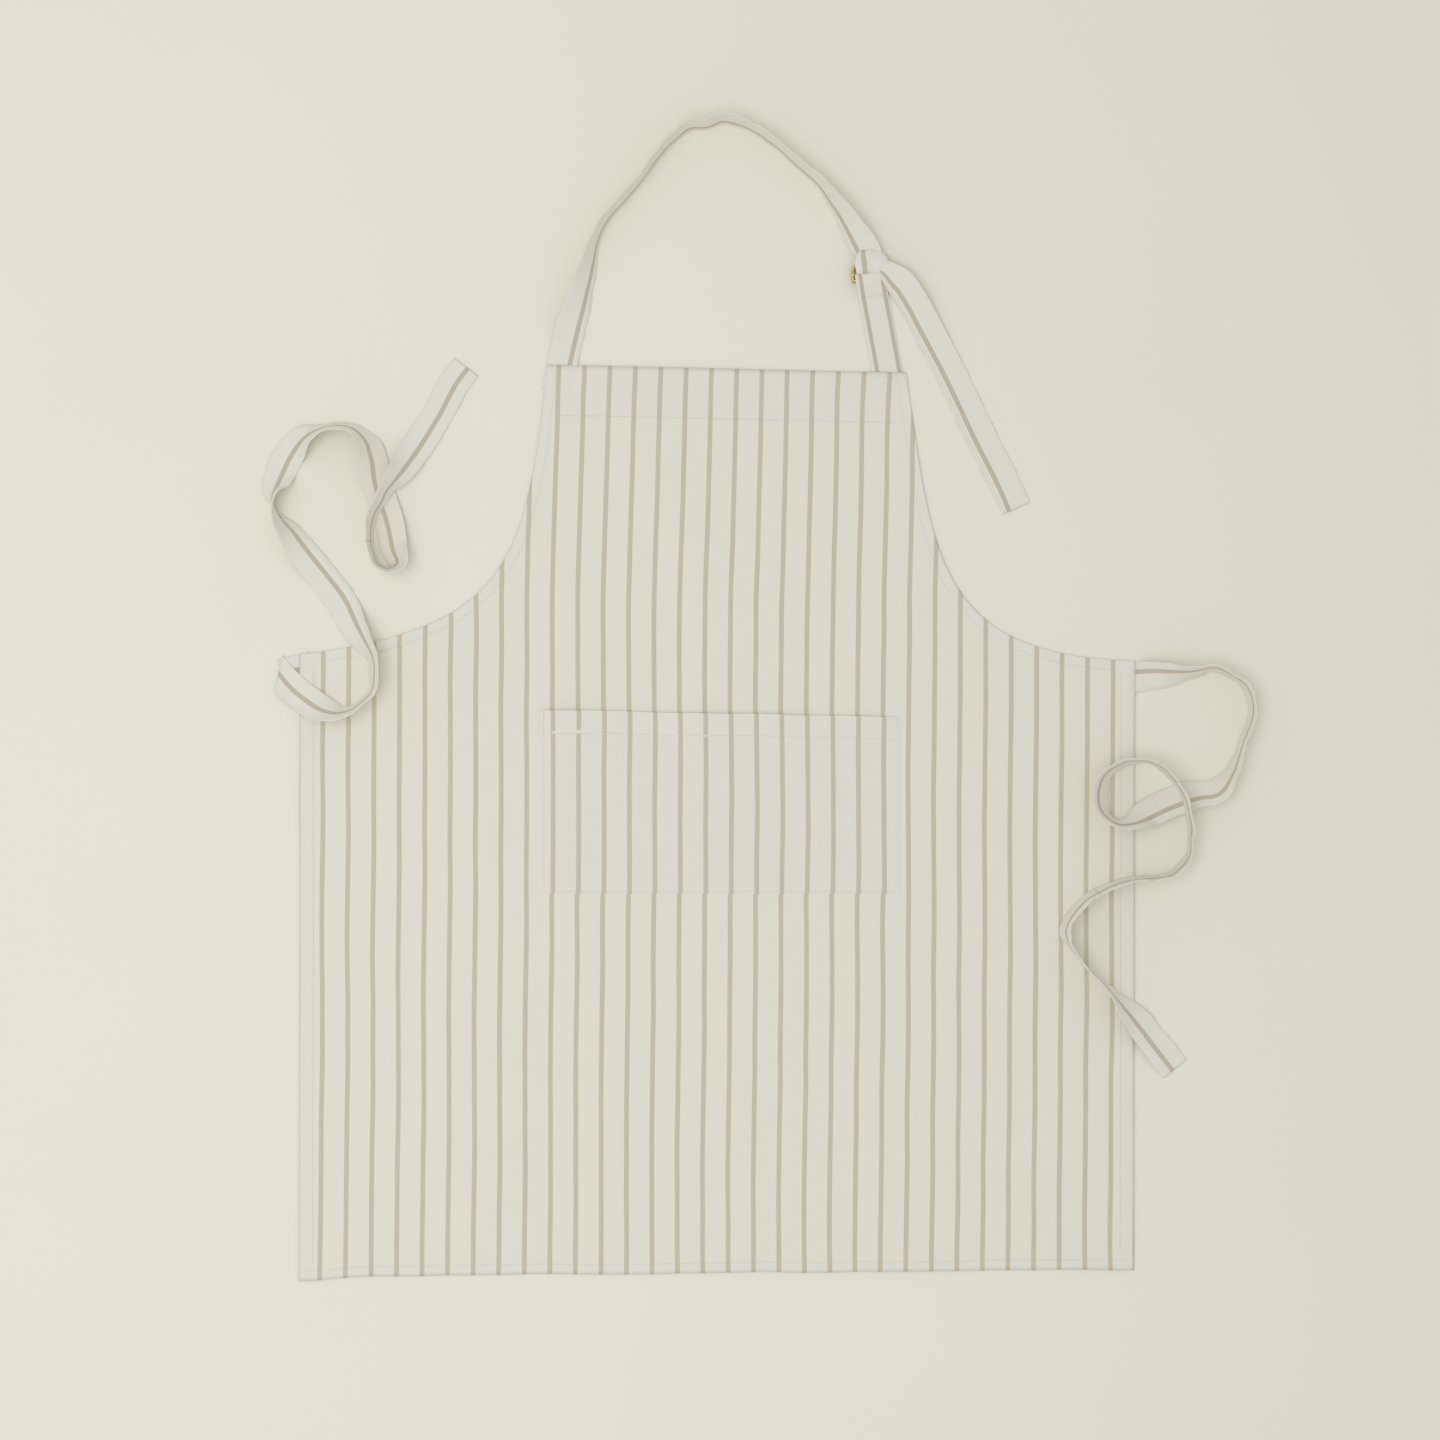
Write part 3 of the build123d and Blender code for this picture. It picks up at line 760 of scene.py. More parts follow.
    def outline_grid(self) -> tuple[np.ndarray, np.ndarray]:
        """Rule lines between the left and right edges; the skirt's rows also bend to the bottom edge."""
        arm_l, arm_r = self.curves()
        up = np.linspace(0.0, 1.0, self.rows_skirt)[:-1, None]
        skirt_l = np.array(self.low_left) * (1 - up) + np.array(self.side_left) * up
        skirt_r = np.array(self.low_right) * (1 - up) + np.array(self.side_right) * up
        left, right = np.concatenate([skirt_l, arm_l]), np.concatenate([skirt_r, arm_r])
        share = np.linspace(0.0, 1.0, self.columns)
        share = share - 0.08 * np.sin(2 * np.pi * share) / (2 * np.pi)
        points = left[:, None, :] * (1 - share[None, :, None]) + right[:, None, :] * share[None, :, None]
        x, y = points[..., 0], points[..., 1]
        flat = self.low_left[1] + (self.low_right[1] - self.low_left[1]) * share
        fall = np.concatenate([1 - up[:, 0], np.zeros(self.rows_bib)])[:, None]
        return x, y + fall * (self.low_edge(x) - flat[None, :])

    def build(self) -> bpy.types.Object:
        """Make the panel's sheet and put it in place of its plain solid."""
        x, y = self.outline_grid()
        points = np.stack([x, y, self.height(x, y)], axis=-1)
        uv = np.stack([self.cloth_u(x, y), y], axis=-1)
        piece = sheet_piece("apron_panel", points, uv, self.doubled(x, y))
        thicken(piece, self.cloth)
        self.wardrobe.fit(piece, Slot.PANEL, ROOT, "body_panel")
        LOG.info("panel: %d by %d grid", *x.shape)
        return piece

    def edge_lines(self) -> dict[str, tuple[np.ndarray, float]]:
        """The finished edges as lines that keep the cloth on their left, each with its hem's width."""
        arm_l, arm_r = self.curves()
        down = np.linspace(self.side_left[1], self.low_left[1], 120)
        rise = np.linspace(self.low_right[1], self.side_right[1], 120)
        over = np.linspace(self.low_left[0], self.low_right[0], 160)
        back = np.linspace(self.bib_right[0], self.bib_left[0], 90)
        return {
            "hem_side_left": (np.stack([self.side_edge(down, False), down], axis=1), self.side_hem),
            "hem_bottom": (np.stack([over, self.low_edge(over)], axis=1), self.arm_hem),
            "hem_side_right": (np.stack([self.side_edge(rise, True), rise], axis=1), self.side_hem),
            "hem_armhole_right": (arm_r, self.arm_hem),
            "hem_bib": (np.stack([back, self.top_edge(back)], axis=1), self.bib_hem),
            "hem_armhole_left": (arm_l[::-1], self.arm_hem),
        }

    def build_hems(self) -> list[bpy.types.Object]:
        """Lay each hem's turned layer behind the panel, as a flat band from the edge inwards."""
        made = []
        for name, (edge, width) in self.edge_lines().items():
            thin = Section(width=width, thick=self.cloth * LAYER)
            flat = shifted(edge, width / 2)
            middle = np.column_stack([flat, self.height(flat[:, 0], flat[:, 1]) - self.cloth * self.under])
            across = unit(np.column_stack([shifted(edge, width) - edge, np.zeros(len(edge))]))
            piece = thin.skin(name, Lay.square(middle, across), Stripes())
            made.append(self.wardrobe.fit(piece, Slot.PANEL, ROOT))
        return made

    def seam_lines(self) -> dict[str, np.ndarray]:
        """Every sewn line of the hems, as flat lines."""
        lines = self.edge_lines()
        inset = {name: shifted(edge, width - self.stitch_in) for name, (edge, width) in lines.items()}
        left, right = self.side_hem + self.low_left[0], self.low_right[0] - self.side_hem
        low, arm = inset["hem_bottom"], self.arm_hem
        side_l, side_r = inset["hem_side_left"], inset["hem_side_right"]
        bib = inset["hem_bib"]
        arm_l, arm_r = inset["hem_armhole_left"], inset["hem_armhole_right"]
        foot_l, foot_r = self.low_left[1] + arm, self.low_right[1] + arm
        reach, (top_l, top_r) = self.low_seam_reach, self.side_seam_tops
        return {
            "bib_hem_stitch": between(bib, 0, *self.bib_seam),
            "side_hem_stitch_left": between(side_l, 1, foot_l, top_l),
            "side_hem_stitch_right": between(side_r, 1, foot_r, top_r),
            "bottom_hem_stitch": between(low, 0, left - reach, right + reach),
            "armhole_stitch_left": between(arm_l, 0, left, np.inf),
            "armhole_stitch_right": between(arm_r, 0, -np.inf, right),
        }

    def build_seams(self) -> list[bpy.types.Object]:
        """Sew the hems and the strap ends, stitch by stitch."""
        sewing, made = Stitching(), []
        ends = {node: np.linspace(*pair, 12) for node, pair in STRAP_SEAMS.items()}
        lines = {**self.seam_lines(), **ends}
        for node, flat in lines.items():
            piece = sewing.on_cloth(f"{node}_thread", flat, self)
            made.append(self.wardrobe.fit(piece, Slot.THREAD, ROOT, node))
        return made


# ---------------------------------------------------------------- straps


@dataclass(frozen=True)
class Lay:
    """How a strap lies: its middle line, the way across it, and the way its face looks, at each point."""

    middle: np.ndarray
    across: np.ndarray
    face: np.ndarray
    far: np.ndarray                  # distance along the whole strap
    widths: np.ndarray               # width as a share of the tape's own

    @classmethod
    def of(cls, middle: np.ndarray, across: np.ndarray, face: np.ndarray) -> "Lay":
        """Make a strap of full width that starts here."""
        return cls(middle, across, face, distance_along(middle), np.ones(len(middle)))

    @classmethod
    def square(cls, middle: np.ndarray, across: np.ndarray) -> "Lay":
        """Make a strap of full width whose face is square to its line and to the way across it."""
        return cls.of(middle, across, unit(np.cross(unit(np.gradient(middle, axis=0)), across)))

    def part(self, first: int, last: int) -> "Lay":
        """The stretch from one point to another, both kept."""
        keep = slice(first, last + 1)
        return Lay(self.middle[keep], self.across[keep], self.face[keep], self.far[keep], self.widths[keep])

    def then(self, other: "Lay") -> "Lay":
        """Carry on with another strap's line."""
        parts = zip((self.middle, self.across, self.face), (other.middle, other.across, other.face))
        return Lay.of(*(np.concatenate(pair) for pair in parts))


@dataclass(frozen=True)
class Stripes:
    """Where the cloth's stripes run on a strap."""

    face: tuple = ((0.0, 0.0127),)   # distance along, and the stripe's distance from the left edge there
    back: float = 0.0127             # the stripe's distance from the right edge on the back
    spread: float = 1.0              # how many times closer the stripes stand than on flat cloth


@dataclass(frozen=True)
class Section:
    """A strap's cross-section: two broad faces that round into folded edges."""

    width: float = 0.0254
    thick: float = 0.0014
    points: int = 15                 # points over each face
    blunt: float = 0.30              # how squarely the faces meet the edges

    def outline(self) -> tuple[np.ndarray, np.ndarray]:
        """Go once round the section, over the face from its left edge and back under it.

        The place across is w/2 cos(a) and the height t/2 |sin(a)|^blunt, for a from 0 to a full turn.

        Returns:
            Place across and height, each with the first point repeated at the end.
        """
        turn = np.linspace(0.0, 2.0 * np.pi, 2 * self.points + 1)
        place = self.width / 2 * np.cos(turn)
        return place, self.thick / 2 * np.sign(np.sin(turn)) * np.abs(np.sin(turn)) ** self.blunt

    def cloth_uv(self, far: np.ndarray, stripes: Stripes) -> np.ndarray:
        """Cloth coordinates of each face column's start and end: the face is measured from the left edge
        and the back from the right edge, each less its own stripe's place."""
        place = self.outline()[0]
        on_face = np.arange(2 * self.points) < self.points
        both = np.stack([place[:-1], place[1:]], axis=-1)
        from_edge = np.where(on_face[:, None], self.width / 2 - both, self.width / 2 + both)
        face_at = np.interp(far, *np.array(stripes.face).T)[:, None, None]
        at = np.where(on_face[None, :, None], face_at, stripes.back)
        across = (from_edge[None] - at) * stripes.spread
        return np.stack(np.broadcast_arrays(across, far[:, None, None]), axis=-1)

    def waves(self, far: np.ndarray, edge: np.ndarray, seed: int) -> np.ndarray:
        """How the tape waves off its plane: each edge by its own ripple times the place across to the
        power 1.6, and the whole by a slower one."""
        left = ripple(seed, far, 0.031)[:, None] * edge.clip(0.0, 1.0) ** 1.6
        right = ripple(seed + 1, far, 0.037)[:, None] * (-edge).clip(0.0, 1.0) ** 1.6
        return left + right + 0.35 * ripple(seed + 2, far, 0.055)[:, None]

    def skin(self, name: str, lay: Lay, stripes: Stripes, flutter: float = 0.0,
             seed: int = 0) -> bpy.types.Object:
        """Carry the section along a strap's line.

        Args:
            name: the piece's name.
            lay: how the strap lies.
            stripes: where the cloth's stripes run on it.
            flutter: how far the edges wave off the strap's own plane.
            seed: picks the waves.

        Returns:
            The strap.
        """
        place, height = self.outline()
        edge = place[None, :-1] / (self.width / 2)
        off = height[None, :-1] + flutter * self.waves(lay.far, edge, seed)
        reach = place[None, :-1] * lay.widths[:, None]
        loops = (lay.middle[:, None, :] + lay.across[:, None, :] * reach[..., None]
                 + lay.face[:, None, :] * off[..., None])
        loops[..., 2] = np.maximum(loops[..., 2], LOWEST)
        return tube_piece(name, loops, self.cloth_uv(lay.far, stripes))

    def seam(self, lay: Lay, inset: float, flutter: float,
             seed: int) -> tuple[np.ndarray, np.ndarray]:
        """The sewn line along the strap's right edge, on its face, and the face's normal."""
        place = inset - self.width / 2
        edge = np.array([[place / (self.width / 2)]])
        height = self.thick / 2 * (1 - edge[0, 0] ** 2) ** (self.blunt / 2)
        off = height + flutter * self.waves(lay.far, edge, seed)
        line = lay.middle + lay.across * (place * lay.widths[:, None]) + lay.face * off
        line[:, 2] = np.maximum(line[:, 2], LOWEST_SEAM)
        return line, lay.face


def flat_lay(stations: Sequence[Sequence[float]], section: Section, skew: float = 0.0,
             pinch: float = 0.0) -> Lay:
    """Lay a strap through stations on a table.

    Each station is x, y, the roll in degrees, which raises the left-hand edge, and the height of the
    lowest edge. The middle's height is that height plus w/2 |sin roll| plus t/2 |cos roll|.

    Args:
        stations: the stations.
        section: the strap's section.
        skew: tangent of the angle at which the first end is folded, fading over one width.
        pinch: share of the width that is gathered in at the first end, fading over one width.

    Returns:
        How the strap lies.
    """
    path = through(np.array(stations, float), TAPE_STEP)
    lean = np.radians(path[:, 2])
    z = (np.maximum(path[:, 3], LOWEST_PATH) + section.width / 2 * np.abs(np.sin(lean))
         + section.thick / 2 * np.abs(np.cos(lean)))
    middle = np.column_stack([path[:, :2], z])
    along = unit(np.gradient(middle, axis=0))
    left = unit(np.cross(UP, along))
    across = left * np.cos(lean)[:, None] + UP * np.sin(lean)[:, None]
    across = unit(across - along * (across * along).sum(axis=1, keepdims=True))
    face = np.cross(along, across)
    far = distance_along(middle)
    fade = smoothstep(section.width, 0.0, far)
    return Lay(middle, across + along * (skew * fade)[:, None], face, far, 1.0 - pinch * fade)


def near_index(lay: Lay, x: float, y: float) -> int:
    """Number of the point of a strap's line that is nearest to a place, seen from above."""
    return int(np.hypot(lay.middle[:, 0] - x, lay.middle[:, 1] - y).argmin())


@dataclass
class Straps:
    """Everything made of the narrow folded tape: the neck strap, the ring strap and the waist ties."""

    wardrobe: Wardrobe
    section: Section = field(default_factory=Section)
    sewing: Stitching = field(default_factory=Stitching)
    edge_seam: float = 0.0022        # the tape is sewn shut this far in from its open edge

    def strap(self, name: str, lay: Lay, rides: "str | Bend", nodes: Sequence[str], stripes: Stripes,
              seed: int, flutter: float = 0.0006) -> bpy.types.Object:
        """Make one stretch of tape with the seam that closes it.

        Args:
            name: the piece's name.
            lay: how it lies.
            rides: its body, or its bend between two.
            nodes: the CAD nodes that it stands for.
            stripes: where the stripes run on it.
            seed: picks its waves.
            flutter: how far its edges wave.

        Returns:
            The tape.
        """
        piece = self.section.skin(name, lay, stripes, flutter, seed)
        self.wardrobe.fit(piece, Slot.STRAP, rides, *nodes)
        seam = self.sewing.row(f"{name}_seam", *self.section.seam(lay, self.edge_seam, flutter, seed))
        self.wardrobe.fit(seam, Slot.THREAD, rides)
        length = float(lay.far[-1] - lay.far[0])
        LOG.info("%s: %.0f mm of tape", name, length * 1000)
        return piece


# Every station of a tape's route is x, y, the roll in degrees, and the height of the lowest edge.
LEFT_TIE = (
    (-0.3660, -0.0030, 0, 0.0016), (-0.3579, -0.0119, 0, 0.0019), (-0.3433, -0.0241, -2, 0.0021),
    (-0.3284, -0.0328, -34, 0.0021), (-0.3134, -0.0358, -62, 0.0020), (-0.3014, -0.0325, -74, 0.0020),
    (-0.2940, -0.0265, -74, 0.0020), (-0.2861, -0.0167, -70, 0.0020), (-0.2848, -0.0055, -66, 0.0020),
    (-0.2852, 0.0049, -66, 0.0020), (-0.2885, 0.0147, -58, 0.0020), (-0.2935, 0.0226, -46, 0.0014),
    (-0.3045, 0.0400, -16, 0.0002), (-0.3132, 0.0570, 0, 0.0001), (-0.3299, 0.0790, 0, 0.0001),
    (-0.3458, 0.0988, 18, 0.0001), (-0.3552, 0.1126, 42, 0.0001), (-0.3635, 0.1239, 68, 0.0001),
    (-0.3684, 0.1350, 90, 0.0001), (-0.3697, 0.1449, 118, 0.0001), (-0.3670, 0.1560, 158, 0.0001),
    (-0.3635, 0.1668, 178, 0.0001), (-0.3552, 0.1827, 176, 0.0001), (-0.3441, 0.1938, 142, 0.0001),
    (-0.3299, 0.2004, 112, 0.0001), (-0.3168, 0.2032, 108, 0.0001), (-0.3038, 0.2014, 110, 0.0001),
    (-0.2925, 0.1920, 128, 0.0001), (-0.2865, 0.1762, 156, 0.0001), (-0.2840, 0.1585, 172, 0.0001),
    (-0.2794, 0.1425, 182, 0.0001), (-0.2725, 0.1210, 192, 0.0001), (-0.2684, 0.1015, 205, 0.0001),
    (-0.2646, 0.0876, 236, 0.0001), (-0.2725, 0.0834, 256, 0.0001), (-0.2808, 0.0859, 262, 0.0001),
    (-0.2873, 0.1001, 264, 0.0002), (-0.2885, 0.1141, 262, 0.0014), (-0.2856, 0.1290, 258, 0.0036),
    (-0.2793, 0.1400, 254, 0.0063), (-0.2764, 0.1462, 252, 0.0076), (-0.2674, 0.1590, 238, 0.0076),
    (-0.2585, 0.1731, 208, 0.0030), (-0.2469, 0.1911, 184, 0.0004), (-0.2328, 0.2141, 180, 0.0001),
    (-0.2174, 0.2423, 180, 0.0001), (-0.2090, 0.2535, 180, 0.0001))
RIGHT_TIE = (
    (0.3400, -0.0062, 0, 0.0002), (0.3524, -0.0059, 0, 0.0001), (0.3673, -0.0045, 26, 0.0001),
    (0.3793, -0.0042, 45, 0.0001), (0.3986, -0.0023, 67, 0.0001), (0.4145, 0.0010, 79, 0.0001),
    (0.4275, -0.0032, 83, 0.0001), (0.4406, -0.0133, 84, 0.0001), (0.4466, -0.0265, 85, 0.0001),
    (0.4455, -0.0421, 85, 0.0001), (0.4394, -0.0589, 85, 0.0001), (0.4346, -0.0733, 82, 0.0001),
    (0.4286, -0.0866, 68, 0.0001), (0.4178, -0.1010, 42, 0.0001), (0.4010, -0.1038, 24, 0.0001),
    (0.3794, -0.1113, 12, 0.0001), (0.3601, -0.1202, 26, 0.0014), (0.3482, -0.1267, 60, 0.0020),
    (0.3338, -0.1274, 74, 0.0020), (0.3217, -0.1165, 60, 0.0020), (0.3205, -0.1021, 50, 0.0020),
    (0.3241, -0.0890, 60, 0.0020), (0.3362, -0.0794, 74, 0.0020), (0.3517, -0.0758, 80, 0.0020),
    (0.3662, -0.0786, 84, 0.0046), (0.3782, -0.0890, 86, 0.0076), (0.3890, -0.1070, 88, 0.0082),
    (0.3943, -0.1250, 88, 0.0044), (0.3957, -0.1406, 88, 0.0001), (0.3930, -0.1570, 86, 0.0001),
    (0.3868, -0.1640, 84, 0.0001), (0.3796, -0.1708, 84, 0.0001), (0.3740, -0.1724, 84, 0.0002),
    (0.3529, -0.1742, 84, 0.0020), (0.3338, -0.1778, 82, 0.0020), (0.3181, -0.1850, 80, 0.0020),
    (0.3040, -0.1952, 79, 0.0020), (0.2946, -0.2066, 78, 0.0020), (0.2912, -0.2140, 78, 0.0020),
    (0.2902, -0.2190, 79, 0.0020), (0.2918, -0.2242, 82, 0.0020), (0.2972, -0.2328, 87, 0.0020),
    (0.3073, -0.2463, 94, 0.0020), (0.3217, -0.2607, 99, 0.0020), (0.3338, -0.2739, 114, 0.0020),
    (0.3506, -0.2920, 152, 0.0014), (0.3662, -0.3112, 171, 0.0002), (0.3842, -0.3340, 178, 0.0001))
NECK_STRAP = (
    (-0.1335, 0.2340, 0, 0.0001), (-0.1300, 0.2500, 0, 0.0001), (-0.1277, 0.2600, 1, 0.0001),
    (-0.1250, 0.2720, 6, 0.0001), (-0.1220, 0.2840, 14, 0.0001), (-0.1160, 0.3048, 33, 0.0001),
    (-0.1063, 0.3382, 60, 0.0001), (-0.1022, 0.3542, 73, 0.0001), (-0.0946, 0.3718, 80, 0.0001),
    (-0.0770, 0.3927, 83, 0.0001), (-0.0595, 0.4136, 84, 0.0001), (-0.0477, 0.4304, 83, 0.0001),
    (-0.0360, 0.4425, 82, 0.0001), (-0.0218, 0.4538, 80, 0.0001), (-0.0067, 0.4546, 80, 0.0001),
    (0.0050, 0.4592, 80, 0.0001), (0.0184, 0.4567, 82, 0.0001), (0.0301, 0.4517, 84, 0.0001),
    (0.0452, 0.4421, 84, 0.0001), (0.0645, 0.4253, 83, 0.0001), (0.0862, 0.4065, 78, 0.0001),
    (0.1005, 0.3885, 65, 0.0001), (0.1105, 0.3743, 52, 0.0001), (0.1190, 0.3610, 34, 0.0001),
    (0.1265, 0.3470, 16, 0.0001), (0.1290, 0.3370, 0, 0.0001))
TAIL = (
    (0.1360, 0.3372, 4, 0.0080), (0.1415, 0.3336, 8, 0.0078), (0.1494, 0.3270, 16, 0.0052),
    (0.1558, 0.3208, 24, 0.0026), (0.1624, 0.3115, 24, 0.0008), (0.1775, 0.2847, 8, 0.0002),
    (0.1984, 0.2453, 0, 0.0001), (0.2210, 0.1976, 0, 0.0001), (0.2420, 0.1557, 0, 0.0001),
    (0.2512, 0.1352, 0, 0.0001))


class WaistTies(Straps):
    """The two ties, each a long tape that loops loosely beside the skirt."""

    left_start = Bend(ROOT, "tie_left", (-0.3125, -0.0350, 0.0), (-0.2837, -0.0134, 0.0))
    left_finish = Bend("tie_left", "tie_left_end", (-0.2850, 0.1300, 0.0), (-0.2650, 0.1650, 0.0))
    right_start = Bend(ROOT, "tie_right", (0.4145, -0.0017, 0.0), (0.4262, -0.0389, 0.0))
    right_finish = Bend("tie_right", "tie_right_end", (0.292, -0.210, 0.0), (0.292, -0.242, 0.0))
    left_meet = (-0.2883, 0.1080)    # where the two lengths of a tie meet
    right_meet = (0.3181, -0.1850)
    right_flutter = 0.0010           # the right tie waves more than the other tapes

    def build(self) -> None:
        """Lay both ties, each in two lengths that meet where the tie lies still."""
        left = flat_lay(LEFT_TIE, self.section, skew=-0.72)
        meet = near_index(left, *self.left_meet)
        stripes = Stripes(face=((0.0, 0.0127), (0.12, 0.0160), (0.56, 0.0172)), back=0.0145)
        self.strap("tie_left_near", left.part(0, meet), self.left_start,
                   ["waist_tie_left_near", "waist_tie_left_far"], stripes, seed=40)
        self.strap("tie_left_loose", left.part(meet, len(left.middle) - 1), self.left_finish,
                   ["waist_tie_left_end"], stripes, seed=40)
        right = flat_lay(RIGHT_TIE, self.section)
        meet = near_index(right, *self.right_meet)
        stripes = Stripes(face=((0.0, 0.0083),), back=0.0152)
        self.strap("tie_right_near", right.part(0, meet), self.right_start,
                   ["waist_tie_right_near", "waist_tie_right_far"], stripes, seed=60,
                   flutter=self.right_flutter)
        self.strap("tie_right_loose", right.part(meet, len(right.middle) - 1), self.right_finish,
                   ["waist_tie_right_end"], stripes, seed=60, flutter=self.right_flutter)
        self.build_turned_start()

    def build_turned_start(self) -> None:
        """Lay the left tie's first few centimetres, which run out from the seam to the fold."""
        out = ((-0.3385, 0.0030, 0, 0.0002), (-0.3490, 0.0005, 0, 0.0001), (-0.3560, -0.0015, 0, 0.0001),
               (-0.3640, -0.0038, 0, 0.0001))
        lay = flat_lay(out, self.section)
        piece = self.section.skin("tie_left_turned_start", lay, Stripes())
        self.wardrobe.fit(piece, Slot.STRAP, ROOT)


class NeckStrap(Straps):
    """The long strap over the neck and its tail; its fold round the rings is made by the ring knot."""

    lift = Bend(ROOT, "neck_loop", (0.0016, 0.3073, 0.0), (-0.0125, 0.3500, 0.0))
    tail_lift = Bend(ROOT, "strap_tail", (0.1520, 0.3290, 0.0), (0.1685, 0.3040, 0.0))

    def build(self) -> None:
        """Lay the arch and the tail."""
        arch = flat_lay(NECK_STRAP, self.section)
        stripes = Stripes(face=((0.0, 0.0188),), back=0.0147)
        self.strap("neck_strap", arch, self.lift, ["neck_strap_leg", "neck_strap_arch"], stripes, seed=80)
        tail = flat_lay(TAIL, self.section, pinch=0.46)
        self.strap("neck_strap_loose_tail", tail, self.tail_lift, ["neck_strap_tail"], stripes, seed=90)


@dataclass
class RingKnot(Straps):
    """The short strap that holds the two D-rings, and the long strap's fold round them."""

    bar_centre: tuple[float, float] = (0.129, 0.327)
    lean: float = 10.5               # degrees that the ring strap leans to the left
    stripe_gap: float = 0.0182       # its two stripes stand this far apart, closer than on flat cloth
    seam_at: tuple[float, float] = (-0.0146, 0.0028)     # the loop's seam: distance from the bars, height
    seam_half: float = 0.0108
    loop_points: tuple = (
        (-0.0160, 0.0012), (-0.0120, 0.0031), (-0.0060, 0.0062), (-0.0022, 0.0083), (0.0010, 0.0088),
        (0.0038, 0.0080), (0.0050, 0.0056), (0.0046, 0.0026), (0.0024, 0.0011), (-0.0050, 0.0010),
        (-0.0145, 0.0009))
    fold_points: tuple = (
        (0.0160, 0.0010), (0.0105, 0.0010), (0.0076, 0.0024), (0.0070, 0.0058), (0.0066, 0.0092),
        (0.0088, 0.0112), (0.0140, 0.0116), (0.0190, 0.0104), (0.0226, 0.0082), (0.0240, 0.0050),
        (0.0226, 0.0026))
    fold_section: Section = Section(width=0.0246, thick=0.0015, points=20)
    fold_sides: tuple = (            # share of the way round, half the width, shift to the right
        (0.0, 0.0108, 0.0), (0.22, 0.0112, 0.0002), (0.42, 0.0126, 0.0018), (0.60, 0.0140, 0.0030),
        (0.76, 0.0112, 0.0022), (0.88, 0.0078, 0.0018), (1.0, 0.0068, 0.0016))
    fold_droop: float = 0.0034       # how far the crown's sides hang
    fold_crease: float = 0.0004      # how deep its creases are

    def plane_lay(self, points: np.ndarray) -> Lay:
        """Turn a side view, of distance along the ring strap and height, into how a strap lies."""
        angle = np.radians(self.lean)
        bars = np.array([np.cos(angle), np.sin(angle), 0.0])
        ahead = np.array([-np.sin(angle), np.cos(angle), 0.0])
        origin = np.array([*self.bar_centre, 0.0])
        middle = origin + ahead * points[:, :1] + UP * points[:, 1:2]
        along = unit(np.gradient(middle, axis=0))
        across = np.tile(-bars, (len(middle), 1))
        return Lay.of(middle, across, np.cross(along, across))

    def build(self) -> None:
        """Make the ring strap, the fold, and the rings' finish."""
        self.build_ring_strap()
        self.build_fold()
        for node in ("d_ring_lower", "d_ring_upper"):
            self.wardrobe.dress(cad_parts[node], Slot.BRASS)

    def build_ring_strap(self) -> None:
        """Run the tape from behind the bib to the bars, over and under them, and back to its seam."""
        low = flat_lay(((0.1475, 0.2300, 0, 0.0001), (0.1434, 0.2500, 0, 0.0001), (0.1412, 0.2620, 0, 0.0001),
                        (0.1342, 0.3000, 0, 0.0001), (0.1326, 0.3085, 0, 0.0003)), self.section)
        loop = self.plane_lay(through(np.array(self.loop_points), 0.0012))
        lay = low.then(loop)
        stripes = Stripes(face=((0.0, 0.0043),), spread=PITCH / self.stripe_gap)
        piece = self.section.skin("ring_strap_tape", lay, stripes, flutter=0.0002, seed=100)
        self.wardrobe.fit(piece, Slot.STRAP, ROOT, "ring_strap")
        line = self.plane_lay(np.array([self.seam_at, self.seam_at]))
        reach = np.linspace(-self.seam_half, self.seam_half, 12)[:, None]
        ends = line.middle[:1] + line.across[:1] * reach
        seam = self.sewing.row("ring_loop_stitches", ends, np.tile(UP, (len(ends), 1)))
        self.wardrobe.fit(seam, Slot.THREAD, ROOT, "ring_loop_stitch")

    def build_fold(self) -> None:
        """Fold the long strap up through the rings and over them: a crowned lump, fullest on its right.

        Half its width is 11 mm under the rings, 14 mm at the crown and 7 mm where it turns down again, and
        its middle moves to the right by up to 3 mm. Its sides droop with the place across to the power
        2.4, and its lower border waves by the sine of the place across.
        """
        lay = self.plane_lay(through(np.array(self.fold_points), 0.0007))
        section = self.fold_section
        place, height = section.outline()
        share = lay.far / lay.far[-1]
        stages, halves, shifts = np.array(self.fold_sides).T
        half, aside = np.interp(share, stages, halves), np.interp(share, stages, shifts)
        edge = place[None, :-1] / (section.width / 2)
        over = smoothstep(0.22, 0.45, share) * smoothstep(1.0, 0.80, share)
        droop = self.fold_droop * over[:, None] * np.abs(edge) ** 2.4
        rising = np.exp(-((share - 0.40) / 0.13) ** 2)[:, None]
        border = rising * (0.0017 * np.sin(2.2 * (edge + 0.25)) - 0.0027)
        crease = self.fold_crease * over[:, None] * np.sin(7.0 * edge + 11.0 * share[:, None])
        reach = edge * half[:, None] - aside[:, None]
        ahead = np.cross(lay.across[0], UP)
        loops = (lay.middle[:, None, :] + lay.across[:, None, :] * reach[..., None]
                 + ahead * border[..., None] + lay.face[:, None, :] * (height[None, :-1] + crease)[..., None]
                 - UP * droop[..., None])
        loops[..., 2] = np.maximum(loops[..., 2], LOWEST)
        stripes = Stripes(face=((0.0, 0.0068),))
        piece = tube_piece("neck_strap_ring_fold", loops, section.cloth_uv(lay.far, stripes))
        self.wardrobe.fit(piece, Slot.STRAP, ROOT, "neck_strap_fold")


# ---------------------------------------------------------------- the pocket


